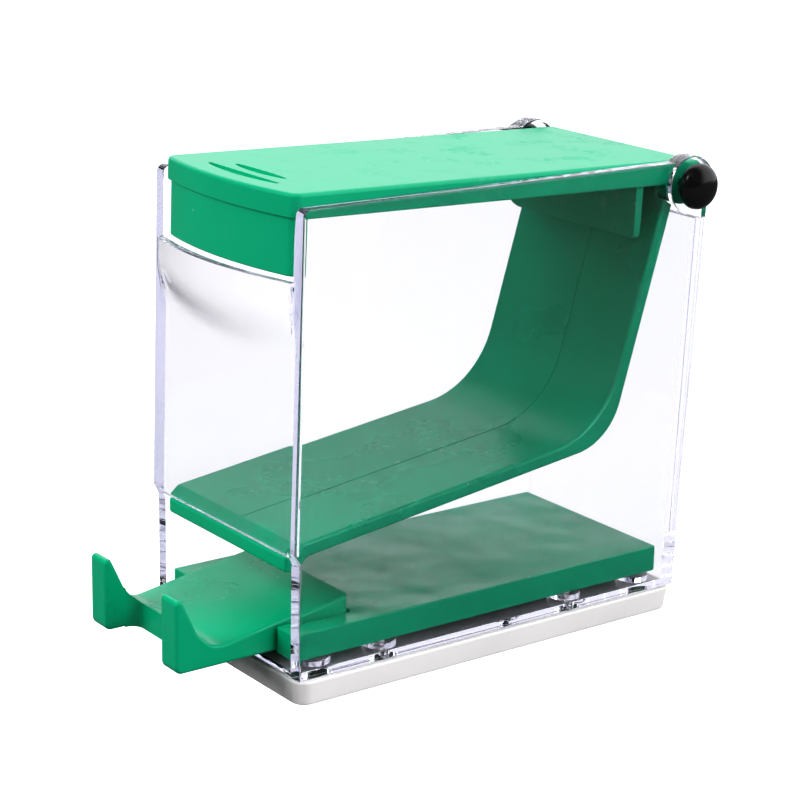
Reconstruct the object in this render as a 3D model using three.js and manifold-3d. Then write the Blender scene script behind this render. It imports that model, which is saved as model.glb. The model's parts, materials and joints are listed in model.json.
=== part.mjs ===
// A press-type dispenser for dental cotton rolls: a clear box on a white base, with a green
// lid and roll bed that swing on one pin, and a green fork that the freed roll lands on.
// Millimetres, +Z up, the front faces -Y. Everything is first placed in the box frame, whose
// Z = 0 is the underside of the clear box, and the whole assembly is then moved to stand on Z = 0.

import * as THREE from 'three';
import { mergeVertices } from 'three/addons/utils/BufferGeometryUtils.js';
import Module from 'manifold-3d';

const wasm = await Module();
wasm.setup();

// ---------- driving dimensions ----------

const gap = 0.4;                 // clearance between pieces that do not move past each other
const swingGap = 0.5;            // clearance between pieces that move past each other
const joinOverlap = 0.5;         // how far two shapes of one piece run into each other
const cutOver = 1;               // how far a cut runs past the face that it opens

const boxWidth = 52;             // outside, across the box
const boxLength = 96.4;          // outside, at the floor
const boxHeight = 91.7;          // floor underside to the top of the side walls
const sideWall = 3;
const rearWall = 2.4;
const frontWall = 2;
const bulgeWall = 1.5;           // the front panel is thinner where it bulges round the lid
const floorThickness = 1.2;
const rearLean = 4;              // the rear wall's top stands this much further back
const frontLean = 1.4;           // the front panel's top stands this much further back
const panelStep = 1.2;           // the front panel stands this proud of the wall ends below it
const openingHeight = 24.7;      // underside of the front panel
const rearWallBelowTop = 12.2;   // rear wall's top below the side walls' top
const bulgeUpright = 4.8;        // the bulge keeps its full depth this far below the panel's top
const bulgeFootMiddle = 17;      // the bulge dies out this far below the panel's top
const bulgeFootSide = 13;
const padRadius = 3.4;           // round pads on the floor that carry the tray
const padHeight = 1.2;
const padInset = 7;              // outer pad centres from the box's outside faces
const padSpacing = 19;           // inner rear pads in front of the outer ones
const padBesideFork = 2.8;       // front pads' centres outside the fork, so that they carry its edges

const pinRadius = 1.2;
const pinFromRear = 5.8;         // pin axis in front of the rear wall's outer top edge
const pinBelowTop = 4.7;         // pin axis below the top of the side walls
const pinFit = 0.3;              // radial clearance round the pin
const lugRadius = 6;             // round ends of the side walls' rear corners, and their bosses
const bossHeight = 1;
const capRadius = 4.7;
const capFlat = 3.95;            // radius of the cap's flat inner face
const capDepth = 3.8;
const capDomeRise = 0.65;        // share of the cap's depth that the dome takes
const capDomeStart = -0.35;      // radians below the dome's widest ring
const capDomeFullness = 0.8;     // 1 is an ellipse; less is fuller at the shoulder
const capSocket = 2.4;

const lidTilt = 1.6;             // degrees that the lid's front stands up at rest
const lidTopHeight = 4.4;        // lid's top face above the pin axis
const lidPlate = 1.4;
const lidRim = 4.6;              // depth of the rim all round
const lidRimWall = 1.8;
const lidSkirtDepth = 15.6;      // depth of the skirt across the front
const lidSkirtSetBack = 0.6;
const lidBehindPin = 4.2;
const lidNose = 2.6;             // lid's front middle beyond the box's front edge
const frontArcRadius = 88.7;     // plan radius of the lid's front and of the panel's bulge
const lidEarWidth = 3.4;
const gripWidth = 2.4;           // grooves across the lid's front, for the fingertip
const gripEndWidth = 0.9;
const gripDepth = 0.7;
const gripGrooves = [            // distance behind the front edge, and half length
  { distance: 5.4, halfLength: 12 },
  { distance: 9.8, halfLength: 8.5 },
];
const ribFromPin = 10.3;         // rib under the lid, in front of the pin
const ribThickness = 1.8;
const ribReach = 11;             // rib's lower edge below the pin axis
const ribLeftCorner = 6;         // radius of the rib's lower left corner
const ribRightCorner = 1;
const nibWidth = 3;
const nibHeight = 1.6;
const nibSpacing = 16;
const nibAboveRibFoot = 2;
const skirtReturn = 2.5;         // length of the skirt along each side

const bedThickness = 2.8;
const bedSideClearance = 1.7;    // bed to each side wall
const bedWallLean = 16;          // degrees from upright
const bedFloorSlope = 7.5;       // degrees, down towards the front
const bedInnerRadius = 20;
const bedOuterRadius = 13;
const bedKnuckleRadius = 2.6;
const knuckleSink = 0.05;        // the bed's inner face lies this far inside the knuckle's surface
const bedFloorStart = 2.2;       // front end of the bed's floor behind the front panel's foot
const bedFloorLift = 1.8;        // and above it
const lipDepth = 3;              // front face of the lip
const lipSetBack = 0.9;          // lip's front face behind the front panel's
const lipLength = 1.6;
const lipRadius = 0.75;
const lipBackset = 1.2;          // the lip's rear joins the floor's underside this far back
const bedFloorRadius = 1;        // where the lip meets the floor's two faces

const wireRadius = 0.3;
const coilFit = 0.4;             // coils' inside clearance round the pin
const coilTurns = 4;
const coilWidth = 4;
const springFromMiddle = 6;      // centre of each spring from the middle of the pin
const springLeg = 14;

const traySideClearance = 1.4;   // tray to each side wall
const trayHeight = 5.5;
const trayPlate = 2;
const trayWall = 1.8;

const forkHalfWidth = 16.2;
const prongWidth = 5.7;
const forkReach = 21.3;          // prong tips in front of the side walls' lower ends
const prongApex = 18;            // height where the prong's two faces would meet
const prongTipRadius = 0.9;
const forkFloor = 0.6;           // fork's underside above the floor pads
const prongHeelReach = 4.9;      // the prong's rear face meets the cradle here
const prongHeelRise = 3.6;
const throatRadius = 2.5;        // corners of the opening between the prongs
const throatWeb = 1.6;           // from that opening to the cradle's lowest line
const cradleReach = 8.6;         // cradle's lowest line behind the prong tips
const cradleDepth = 3.7;         // cradle's surface above the fork's underside
const rampRise = 5;              // the ramp's inner end above the cradle
const forkTail = 17.2;           // the fork's inner end behind the side walls' lower ends
const forkWall = 1.9;
const forkNoseRadius = 1.5;      // foot of the prongs' front
const cradleRadius = 5;
const heelRadius = 4;
const tongueInset = 4;           // tongue's edges inside the fork's sides
const tongueLength = 4;
const tongueThickness = 1.2;

const baseHeight = 5;
const baseCornerRadius = 3;
const baseDraft = 0.5;
const footRadius = 4.5;
const footHeight = 1.6;
const footProud = 0.4;
const footInset = 9;             // feet centres from the base's sides
const footChamfer = 0.5;

const screwShankRadius = 1.1;
const screwHeadRadius = 2.4;
const screwHeadHeight = 1.4;
const screwHeadChamfer = 0.5;
const screwBite = 3;             // length of thread in the tray
const screwBossRadius = 2.9;
const screwCrossLength = 3;
const screwCrossWidth = 0.6;
const screwCrossDepth = 0.6;
const counterbore = 2;

// ---------- places worked out from them ----------

const halfWidth = boxWidth / 2;
const innerHalf = halfWidth - sideWall;
const frontY = -boxLength / 2;
const rearY = boxLength / 2;
const rearWallHeight = boxHeight - rearWallBelowTop;
const rearFace = (z) => rearY + rearLean * z / boxHeight;
const panelRise = boxHeight - openingHeight;
const panelFace = (z) => frontY - panelStep + frontLean * (z - openingHeight) / panelRise;
const pinY = rearFace(boxHeight) - pinFromRear;
const pinZ = boxHeight - pinBelowTop;
const pinHole = pinRadius + pinFit;
const coilRadius = pinRadius + coilFit + wireRadius;
const capStart = halfWidth + bossHeight + gap;
const floorTop = floorThickness + padHeight;
const lidHalf = innerHalf - swingGap;
const lidFront = frontY - lidNose - pinY;
const earInner = lidHalf - lidEarWidth;
const bedHalf = innerHalf - bedSideClearance;
const knuckleHalf = earInner - gap;
const trayHalf = innerHalf - traySideClearance;
const trayBottom = floorTop + gap;
const trayTop = trayBottom + trayHeight;
const trayFront = frontY + 1;
const trayRear = rearFace(0) - rearWall - gap;
const forkBottom = floorTop + forkFloor;
const forkFront = frontY - forkReach;
const forkRear = frontY + forkTail;
const baseTop = -gap;
const baseBottom = baseTop - baseHeight;
const groundZ = baseBottom - footProud;
const tilt = THREE.MathUtils.degToRad(lidTilt);
const degrees = THREE.MathUtils.degToRad;

// The skirt's lower edge in the box frame decides where the front panel may begin.
const skirtFoot = lidTopHeight - lidSkirtDepth;
const panelTop = pinZ + skirtFoot * Math.cos(tilt) - lidFront * Math.sin(tilt) - swingGap;
const skirtFaceY = pinY + (lidFront + lidSkirtSetBack) * Math.cos(tilt) + skirtFoot * Math.sin(tilt);

// ---------- materials ----------

function material(color, roughness, options = {}) {
  return new THREE.MeshStandardMaterial({ color, roughness, metalness: 0, ...options });
}

const greenPlastic = material(0x0b9a68, 0.3);
const clearPlastic = material(0xe6ecf4, 0.05, { transparent: true, opacity: 0.3 });
const whitePlastic = material(0xe9e6e4, 0.5);
const blackPlastic = material(0x0c0c0e, 0.2);
const greyRubber = material(0xc9c9c6, 0.85);
const steel = material(0xb8babd, 0.3, { metalness: 1 });

// ---------- solids ----------

function solid(geometry) {
  const bare = geometry.clone();
  bare.deleteAttribute('normal');
  bare.deleteAttribute('uv');
  const merged = mergeVertices(bare, 1e-4);
  return new wasm.Manifold(new wasm.Mesh({
    numProp: 3,
    vertProperties: new Float32Array(merged.attributes.position.array),
    triVerts: new Uint32Array(merged.index.array),
  }));
}

function piece(name, body, look) {
  const { vertProperties, triVerts } = body.getMesh();
  const geometry = new THREE.BufferGeometry();
  geometry.setAttribute('position', new THREE.BufferAttribute(vertProperties, 3));
  geometry.setIndex(new THREE.BufferAttribute(triVerts, 1));
  geometry.computeVertexNormals();
  const mesh = new THREE.Mesh(geometry, look);
  mesh.name = name;
  return mesh;
}

// A block between two corners.
function block(x0, x1, y0, y1, z0, z1) {
  const geometry = new THREE.BoxGeometry(x1 - x0, y1 - y0, z1 - z0);
  geometry.translate((x0 + x1) / 2, (y0 + y1) / 2, (z0 + z1) / 2);
  return solid(geometry);
}

function rodX(radius, x0, x1, y, z, segments = 32) {
  const geometry = new THREE.CylinderGeometry(radius, radius, x1 - x0, segments);
  geometry.rotateZ(Math.PI / 2);
  geometry.translate((x0 + x1) / 2, y, z);
  return solid(geometry);
}

function rodZ(radius, z0, z1, x, y, segments = 32) {
  const geometry = new THREE.CylinderGeometry(radius, radius, z1 - z0, segments);
  geometry.rotateX(Math.PI / 2);
  geometry.translate(x, y, (z0 + z1) / 2);
  return solid(geometry);
}

// Corners are [u, v] or [u, v, radius]; a radius rounds that corner with an arc.
function outline(corners, arcSteps = 8) {
  const points = [];
  corners.forEach(([u, v, radius = 0], i) => {
    const here = new THREE.Vector2(u, v);
    if (radius === 0) {
      points.push(here);
      return;
    }
    const [pu, pv] = corners[(i + corners.length - 1) % corners.length];
    const [nu, nv] = corners[(i + 1) % corners.length];
    const toPrevious = new THREE.Vector2(pu - u, pv - v).normalize();
    const toNext = new THREE.Vector2(nu - u, nv - v).normalize();
    const halfAngle = Math.acos(THREE.MathUtils.clamp(toPrevious.dot(toNext), -1, 1)) / 2;
    const bisector = toPrevious.clone().add(toNext).normalize();
    const centre = here.clone().addScaledVector(bisector, radius / Math.sin(halfAngle));
    const start = here.clone().addScaledVector(toPrevious, radius / Math.tan(halfAngle)).sub(centre);
    const end = here.clone().addScaledVector(toNext, radius / Math.tan(halfAngle)).sub(centre);
    const turn = Math.atan2(start.cross(end), start.dot(end));
    for (let step = 0; step <= arcSteps; step += 1) {
      const arm = start.clone().rotateAround(new THREE.Vector2(), turn * step / arcSteps);
      points.push(centre.clone().add(arm));
    }
  });
  return new THREE.Shape(points);
}

// An outline drawn in (Y, Z), extruded along X.
function extrudeX(shape, x0, x1) {
  const geometry = new THREE.ExtrudeGeometry(shape, { depth: x1 - x0, bevelEnabled: false });
  const turn = new THREE.Matrix4().makeBasis(
    new THREE.Vector3(0, 1, 0), new THREE.Vector3(0, 0, 1), new THREE.Vector3(1, 0, 0));
  geometry.applyMatrix4(turn);
  geometry.translate(x0, 0, 0);
  return solid(geometry);
}

// An outline drawn in (X, Y), extruded along Z.
function extrudeZ(shape, z0, z1) {
  const geometry = new THREE.ExtrudeGeometry(shape, { depth: z1 - z0, bevelEnabled: false });
  geometry.translate(0, 0, z0);
  return solid(geometry);
}

// Distance that the front arc falls back from its middle at the distance x across the box.
function arcDrop(x, radius = frontArcRadius) {
  return radius - Math.sqrt(radius * radius - x * x);
}

// ---------- clear housing ----------

// The screws pass through the inner pads, clear of the fork and of the feet at the corners.
const padX = halfWidth - padInset;
const screwRows = [
  forkRear + gap + trayWall + screwBossRadius + joinOverlap,
  rearY - padInset - padSpacing,
];
const pads = [
  { x: forkHalfWidth + padBesideFork, y: frontY + padInset },
  { x: padX, y: screwRows[0] },
  { x: padX, y: screwRows[1] },
  { x: padX, y: rearY - padInset },
];

// How far the front bulge stands in front of the flat panel, at the distance x.
function bulgeDepth(x) {
  return Math.max(0, panelFace(panelTop) - (skirtFaceY - swingGap - bulgeWall) - arcDrop(x));
}

// The front edge of a side wall, from the top down: it stands forward beside the lid's skirt
// and falls back to the flat panel as the bulge does.
function wallFrontEdge() {
  const depth = bulgeDepth(innerHalf);
  const steps = 10;
  const points = [[panelFace(boxHeight) - depth, boxHeight]];
  for (let i = 0; i <= steps; i += 1) {
    const below = THREE.MathUtils.lerp(bulgeUpright, bulgeFootSide, i / steps);
    const fade = 1 - THREE.MathUtils.smoothstep(below, bulgeUpright, bulgeFootSide);
    const z = panelTop - below;
    points.push([panelFace(z) - depth * fade, z]);
  }
  return points;
}

function sideWallSolid(side) {
  const wall = outline([
    [frontY, 0],
    [rearY, 0],
    [rearFace(pinZ), pinZ],
    [pinY, boxHeight],
    ...wallFrontEdge(),
    [panelFace(openingHeight + panelStep), openingHeight + panelStep],
    [frontY, openingHeight - panelStep],
  ]);
  const x0 = side > 0 ? innerHalf : -halfWidth;
  const bossX0 = side > 0 ? innerHalf : -halfWidth - bossHeight;
  return extrudeX(wall, x0, x0 + sideWall)
    .add(rodX(lugRadius, bossX0, bossX0 + sideWall + bossHeight, pinY, pinZ, 48));
}

// The front panel is flat below and bulges at the top, in the same arc as the lid's front,
// so that the lid's skirt has room to come down behind it.
function frontPanelSolid() {
  const panelHalf = innerHalf + joinOverlap;
  const geometry = new THREE.BoxGeometry(2 * panelHalf, 1, panelTop - openingHeight, 16, 1, 20);
  const flatOuter = panelFace(panelTop);
  const innerAtTop = skirtFaceY - swingGap;
  const outerAtTop = innerAtTop - bulgeWall;
  const position = geometry.attributes.position;
  for (let i = 0; i < position.count; i += 1) {
    const x = position.getX(i);
    const z = position.getZ(i) + (panelTop + openingHeight) / 2;
    const outer = position.getY(i) < 0;
    const foot = THREE.MathUtils.lerp(bulgeFootMiddle, bulgeFootSide, (x / panelHalf) ** 2);
    const fade = 1 - THREE.MathUtils.smoothstep(panelTop - z, bulgeUpright, foot);
    const full = outer ? flatOuter - outerAtTop : flatOuter + frontWall - innerAtTop;
    const bulge = Math.max(0, full - arcDrop(x)) * fade;
    const flat = panelFace(z) + (outer ? 0 : frontWall);
    position.setXYZ(i, x, flat - bulge, z);
  }
  return solid(geometry);
}

function makeHousing() {
  const rear = outline([
    [rearFace(0) - rearWall, 0],
    [rearFace(0), 0],
    [rearFace(rearWallHeight), rearWallHeight],
    [rearFace(rearWallHeight) - rearWall, rearWallHeight],
  ]);
  let body = sideWallSolid(1)
    .add(sideWallSolid(-1))
    .add(extrudeX(rear, -innerHalf - joinOverlap, innerHalf + joinOverlap))
    .add(block(-innerHalf - joinOverlap, innerHalf + joinOverlap, frontY, rearY - joinOverlap,
      0, floorThickness))
    .add(frontPanelSolid());
  for (const side of [-1, 1]) {
    for (const { x, y } of pads) {
      body = body.add(rodZ(padRadius, floorThickness - joinOverlap, floorTop, side * x, y));
    }
    for (const y of screwRows) {
      body = body.subtract(rodZ(screwShankRadius + pinFit, -cutOver, floorTop + cutOver,
        side * padX, y, 24));
    }
  }
  const holeEnd = halfWidth + bossHeight + cutOver;
  body = body.subtract(rodX(pinHole, -holeEnd, holeEnd, pinY, pinZ));
  return piece('clear_housing', body, clearPlastic);
}

// ---------- base, feet and screws ----------

function roundedPlate(halfX, y0, y1, radius, z0, z1) {
  return extrudeZ(outline([
    [-halfX, y0, radius], [halfX, y0, radius], [halfX, y1, radius], [-halfX, y1, radius],
  ]), z0, z1);
}

const footX = halfWidth - footInset;
const footRows = [frontY + footInset, rearY - footInset];

function makeBase() {
  const steps = 4;
  let body = null;
  for (let i = 0; i < steps; i += 1) {
    const z0 = baseBottom + baseHeight * i / steps;
    const inset = baseDraft * (1 - i / (steps - 1));
    const layer = roundedPlate(halfWidth - inset, frontY + inset, rearY - inset,
      baseCornerRadius, z0, baseTop);
    body = body === null ? layer : body.add(layer);
  }
  for (const x of [-footX, footX]) {
    for (const y of footRows) {
      const recess = baseBottom + footHeight - footProud + gap;
      body = body.subtract(rodZ(footRadius + gap, baseBottom - cutOver, recess, x, y));
    }
  }
  for (const x of [-padX, padX]) {
    for (const y of screwRows) {
      body = body
        .subtract(rodZ(screwShankRadius + pinFit, baseBottom - cutOver, baseTop + cutOver, x, y, 24))
        .subtract(rodZ(screwHeadRadius + gap, baseBottom - cutOver, baseBottom + counterbore,
          x, y, 24));
    }
  }
  return piece('base_plate', body, whitePlastic);
}

function makeFeet() {
  const feet = [];
  for (const x of [-footX, footX]) {
    for (const y of footRows) {
      const profile = [
        [0, 0],
        [footRadius - footChamfer, 0],
        [footRadius, footChamfer],
        [footRadius, footHeight],
        [0, footHeight],
      ].map(([r, z]) => new THREE.Vector2(r, z));
      const disc = new THREE.LatheGeometry(profile, 24);
      disc.rotateX(Math.PI / 2);
      disc.translate(x, y, groundZ);
      feet.push(piece(`foot_${feet.length + 1}`, solid(disc), greyRubber));
    }
  }
  return feet;
}

function makeScrews() {
  const screws = [];
  const headTop = baseBottom + counterbore - gap;
  const length = trayBottom + screwBite - headTop;
  const profile = [
    [0, -screwHeadHeight],
    [screwHeadRadius - screwHeadChamfer, -screwHeadHeight],
    [screwHeadRadius, -screwHeadHeight + screwHeadChamfer],
    [screwHeadRadius, 0],
    [screwShankRadius, 0],
    [screwShankRadius, length - screwShankRadius],
    [0, length],
  ].map(([r, z]) => new THREE.Vector2(r, z));
  for (const x of [-padX, padX]) {
    for (const y of screwRows) {
      const shank = new THREE.LatheGeometry(profile, 16);
      shank.rotateX(Math.PI / 2);
      shank.translate(x, y, headTop);
      const cross = [[screwCrossLength, screwCrossWidth], [screwCrossWidth, screwCrossLength]];
      let body = solid(shank);
      for (const [lengthX, lengthY] of cross) {
        body = body.subtract(block(x - lengthX / 2, x + lengthX / 2, y - lengthY / 2,
          y + lengthY / 2, headTop - screwHeadHeight - cutOver,
          headTop - screwHeadHeight + screwCrossDepth));
      }
      screws.push(piece(`base_screw_${screws.length + 1}`, body, steel));
    }
  }
  return screws;
}

// ---------- tray and fork ----------

function makeTray() {
  const notchHalf = forkHalfWidth + gap;
  const notchRear = forkRear + gap;
  const roof = trayTop - trayPlate;
  let hollow = block(-trayHalf + trayWall, trayHalf - trayWall, notchRear + trayWall,
    trayRear - trayWall, trayBottom - cutOver, roof);
  for (const x of [-padX, padX]) {
    for (const y of screwRows) {
      hollow = hollow.subtract(rodZ(screwBossRadius, trayBottom - 2 * cutOver, roof + cutOver, x, y));
    }
  }
  let body = block(-trayHalf, trayHalf, trayFront, trayRear, trayBottom, trayTop)
    .subtract(block(-notchHalf, notchHalf, trayFront - cutOver, notchRear,
      trayBottom - cutOver, trayTop + cutOver))
    .subtract(hollow);
  // The tongue of the fork reaches in under the tray's front wall.
  const mouthHalf = forkHalfWidth - tongueInset + 2 * gap;
  body = body.subtract(block(-mouthHalf, mouthHalf, notchRear - cutOver,
    notchRear + trayWall + cutOver, trayBottom - cutOver, forkBottom + tongueThickness + gap));
  for (const x of [-padX, padX]) {
    for (const y of screwRows) {
      body = body.subtract(rodZ(screwShankRadius + pinFit, trayBottom - cutOver,
        trayBottom + screwBite + gap, x, y, 24));
    }
  }
  return piece('base_tray', body, greenPlastic);
}

function makeFork() {
  const cradle = forkBottom + cradleDepth;
  const rampTop = cradle + rampRise;
  const cradleY = forkFront + cradleReach;
  const side = outline([
    [forkFront, forkBottom, forkNoseRadius],
    [forkRear, forkBottom],
    [forkRear, rampTop],
    [cradleY, cradle, cradleRadius],
    [forkFront + prongHeelReach, cradle + prongHeelRise, heelRadius],
    [forkFront, forkBottom + prongApex, prongTipRadius],
  ], 6);
  let body = extrudeX(side, -forkHalfWidth, forkHalfWidth);
  // The opening between the prongs ends in a rounded throat.
  const throatHalf = forkHalfWidth - prongWidth;
  const throat = outline([
    [-throatHalf, forkFront - cutOver],
    [throatHalf, forkFront - cutOver],
    [throatHalf, cradleY - throatWeb, throatRadius],
    [-throatHalf, cradleY - throatWeb, throatRadius],
  ], 6);
  body = body.subtract(extrudeZ(throat, forkBottom - cutOver, forkBottom + prongApex + cutOver));
  // Hollow underneath, as a moulded part is, with walls at the sides.
  const slope = rampRise / (forkRear - cradleY);
  const hollow = outline([
    [cradleY + forkWall, forkBottom - cutOver],
    [forkRear - forkWall, forkBottom - cutOver],
    [forkRear - forkWall, rampTop - forkWall - slope * forkWall],
    [cradleY + forkWall, cradle - forkWall + slope * forkWall],
  ]);
  body = body.subtract(extrudeX(hollow, -forkHalfWidth + forkWall, forkHalfWidth - forkWall));
  // Tongue that the tray holds down.
  const tongueHalf = forkHalfWidth - tongueInset;
  body = body.add(block(-tongueHalf, tongueHalf, forkRear - forkWall, forkRear + tongueLength,
    forkBottom, forkBottom + tongueThickness));
  return piece('dispensing_fork', body, greenPlastic);
}

// ---------- lid: drawn round the pin axis, level, and tilted by its group ----------

function lidOutline(inset) {
  const half = lidHalf - inset;
  const steps = 16;
  const points = [];
  for (let i = 0; i <= steps; i += 1) {
    const x = -half + 2 * half * i / steps;
    points.push(new THREE.Vector2(x, lidFront + inset + arcDrop(x)));
  }
  points.push(new THREE.Vector2(half, lidBehindPin), new THREE.Vector2(-half, lidBehindPin));
  return new THREE.Shape(points);
}

// A groove that follows the lid's front arc, widest in the middle.
function gripGroove({ distance, halfLength }) {
  const steps = 12;
  const near = [];
  const far = [];
  for (let i = 0; i <= steps; i += 1) {
    const x = -halfLength + 2 * halfLength * i / steps;
    const width = THREE.MathUtils.lerp(gripWidth, gripEndWidth, (x / halfLength) ** 2);
    const middle = lidFront + distance + arcDrop(x);
    near.push(new THREE.Vector2(x, middle - width / 2));
    far.unshift(new THREE.Vector2(x, middle + width / 2));
  }
  return extrudeZ(new THREE.Shape([...near, ...far]),
    lidTopHeight - gripDepth, lidTopHeight + cutOver);
}

function makeLid() {
  const underside = lidTopHeight - lidPlate;
  const rimFoot = lidTopHeight - lidRim;
  let body = extrudeZ(lidOutline(0), rimFoot, lidTopHeight);
  // Hollow from below; the rear stays open so that the lid can swing past the bed's knuckles.
  body = body.subtract(extrudeZ(lidOutline(lidRimWall), rimFoot - cutOver, underside));
  body = body.subtract(block(-lidHalf + lidRimWall, lidHalf - lidRimWall,
    -bedKnuckleRadius, lidBehindPin + cutOver, rimFoot - cutOver, underside));
  // Deep skirt across the front, a little behind the rim's face.
  const skirt = extrudeZ(lidOutline(lidSkirtSetBack), skirtFoot, rimFoot + joinOverlap)
    .subtract(extrudeZ(lidOutline(lidSkirtSetBack + lidRimWall), skirtFoot - cutOver,
      rimFoot + cutOver))
    .intersect(block(-lidHalf, lidHalf, lidFront - cutOver,
      lidFront + arcDrop(lidHalf) + skirtReturn, skirtFoot - cutOver, lidTopHeight));
  body = body.add(skirt);
  // Ears on the pin, one inside each side wall.
  for (const side of [-1, 1]) {
    const x0 = side > 0 ? earInner : -lidHalf;
    body = body.add(rodX(lidTopHeight, x0, x0 + lidEarWidth, 0, 0, 48));
  }
  // Cross rib with two nibs that push the bed's back wall.
  const ribY = -ribFromPin;
  const ribHalf = lidHalf - lidRimWall + joinOverlap;
  const ribTop = underside + joinOverlap;
  const rib = outline([
    [-ribHalf, ribTop],
    [-ribHalf, -ribReach, ribLeftCorner],
    [ribHalf, -ribReach, ribRightCorner],
    [ribHalf, ribTop],
  ]);
  const ribGeometry = new THREE.ExtrudeGeometry(rib, { depth: ribThickness, bevelEnabled: false });
  ribGeometry.rotateX(Math.PI / 2);
  ribGeometry.translate(0, ribY + ribThickness / 2, 0);
  body = body.add(solid(ribGeometry));
  const nibZ = -ribReach + nibAboveRibFoot;
  for (const x of [-nibSpacing / 2, nibSpacing / 2]) {
    body = body.add(block(x - nibWidth / 2, x + nibWidth / 2, ribY,
      bedInnerFaceAt(nibZ) - gap, nibZ - nibHeight / 2, nibZ + nibHeight / 2));
  }
  body = body.subtract(rodX(pinHole, -lidHalf - cutOver, lidHalf + cutOver, 0, 0));
  for (const groove of gripGrooves) {
    body = body.subtract(gripGroove(groove));
  }
  return piece('lid', body, greenPlastic);
}

// Distance of the bed's inner face behind (+) or in front (-) of the pin, at the height z
// above the pin, in the lid's tilted frame.
function bedInnerFaceAt(z) {
  const lean = degrees(bedWallLean) + tilt;
  return (-bedKnuckleRadius + z * Math.sin(lean)) / Math.cos(lean);
}

// ---------- roll bed ----------

// Point where the bed's wall line and floor line meet, for a face offset from the inner one.
function bedCorner(offset) {
  const lean = degrees(bedWallLean);
  const slope = degrees(bedFloorSlope);
  // Wall line: -cos(lean) dy + sin(lean) dz = bedKnuckleRadius - offset, from the pin.
  // Floor line: passes the front point with the floor's slope, lowered by the offset.
  const frontPoint = bedFloorFront(offset);
  const reach = bedKnuckleRadius - offset;
  const tanSlope = Math.tan(slope);
  const tanLean = Math.tan(lean);
  const constant = pinY - reach / Math.cos(lean) - pinZ * tanLean;
  const z = (frontPoint[1] + tanSlope * (constant - frontPoint[0])) / (1 - tanSlope * tanLean);
  return [constant + z * tanLean, z];
}

// Front end of the bed's floor, just behind and above the front panel's lower edge.
function bedFloorFront(offset) {
  const y = panelFace(openingHeight) + frontWall + bedFloorStart;
  return [y, openingHeight + bedFloorLift - offset / Math.cos(degrees(bedFloorSlope))];
}

function makeBed() {
  const lean = degrees(bedWallLean);
  const along = new THREE.Vector2(Math.sin(lean), Math.cos(lean));
  const outward = new THREE.Vector2(-Math.cos(lean), Math.sin(lean));
  const pin = new THREE.Vector2(pinY, pinZ);
  const topInner = pin.clone().addScaledVector(outward, bedKnuckleRadius - knuckleSink);
  const topOuter = pin.clone().addScaledVector(outward, bedKnuckleRadius - bedThickness);
  const lipTop = openingHeight - swingGap - gap;
  const lipFront = panelFace(openingHeight) + lipSetBack;
  const floorFront = bedFloorFront(0);
  const underFront = bedFloorFront(bedThickness);
  const profile = outline([
    [topOuter.x, topOuter.y],
    [topInner.x, topInner.y],
    [...bedCorner(0), bedInnerRadius],
    [floorFront[0], floorFront[1], bedFloorRadius],
    [lipFront, lipTop, lipRadius],
    [lipFront, lipTop - lipDepth, lipRadius],
    [lipFront + lipLength, lipTop - lipDepth, lipRadius],
    [underFront[0] + lipBackset, underFront[1], bedFloorRadius],
    [...bedCorner(bedThickness), bedOuterRadius],
  ], 8);
  let body = extrudeX(profile, -bedHalf, bedHalf);
  body = body.add(rodX(bedKnuckleRadius, -knuckleHalf, knuckleHalf, pinY, pinZ, 40));
  // Room for the lid's ears at both ends, and for the springs.
  const earRoom = bedHalf + cutOver - knuckleHalf;
  const springRoom = Math.max(coilRadius + wireRadius, bedKnuckleRadius) + 2 * gap;
  const springHalfRoom = coilWidth / 2 + wireRadius + gap;
  for (const side of [-1, 1]) {
    const x0 = side > 0 ? knuckleHalf : -bedHalf - cutOver;
    body = body.subtract(rodX(lidTopHeight + gap, x0, x0 + earRoom, pinY, pinZ, 40));
    const springX = side * springFromMiddle;
    body = body.subtract(rodX(springRoom, springX - springHalfRoom, springX + springHalfRoom,
      pinY, pinZ, 40));
  }
  body = body.subtract(rodX(pinHole, -bedHalf - cutOver, bedHalf + cutOver, pinY, pinZ));
  return piece('roll_bed', body, greenPlastic);
}

// ---------- pin, caps and springs ----------

function makePin() {
  const end = capStart + capSocket - gap;
  return piece('hinge_pin', rodX(pinRadius, -end, end, pinY, pinZ), steel);
}

function makeCaps() {
  return [['pin_cap_left', -1], ['pin_cap_right', 1]].map(([name, side]) => {
    const points = [new THREE.Vector2(0, 0), new THREE.Vector2(capFlat, 0)];
    const steps = 10;
    for (let i = 0; i <= steps; i += 1) {
      const angle = THREE.MathUtils.lerp(capDomeStart, Math.PI / 2, i / steps);
      const radius = i === steps ? 0 : capRadius * Math.cos(angle) ** capDomeFullness;
      const height = capDepth * (1 - capDomeRise + capDomeRise * Math.sin(angle));
      points.push(new THREE.Vector2(radius, height));
    }
    const dome = new THREE.LatheGeometry(points, 32);
    dome.rotateZ(-side * Math.PI / 2);
    dome.translate(side * capStart, pinY, pinZ);
    const x0 = side > 0 ? capStart - cutOver : -capStart - capSocket;
    const socket = rodX(pinHole, x0, x0 + capSocket + cutOver, pinY, pinZ);
    return piece(name, solid(dome).subtract(socket), blackPlastic);
  });
}

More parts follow.
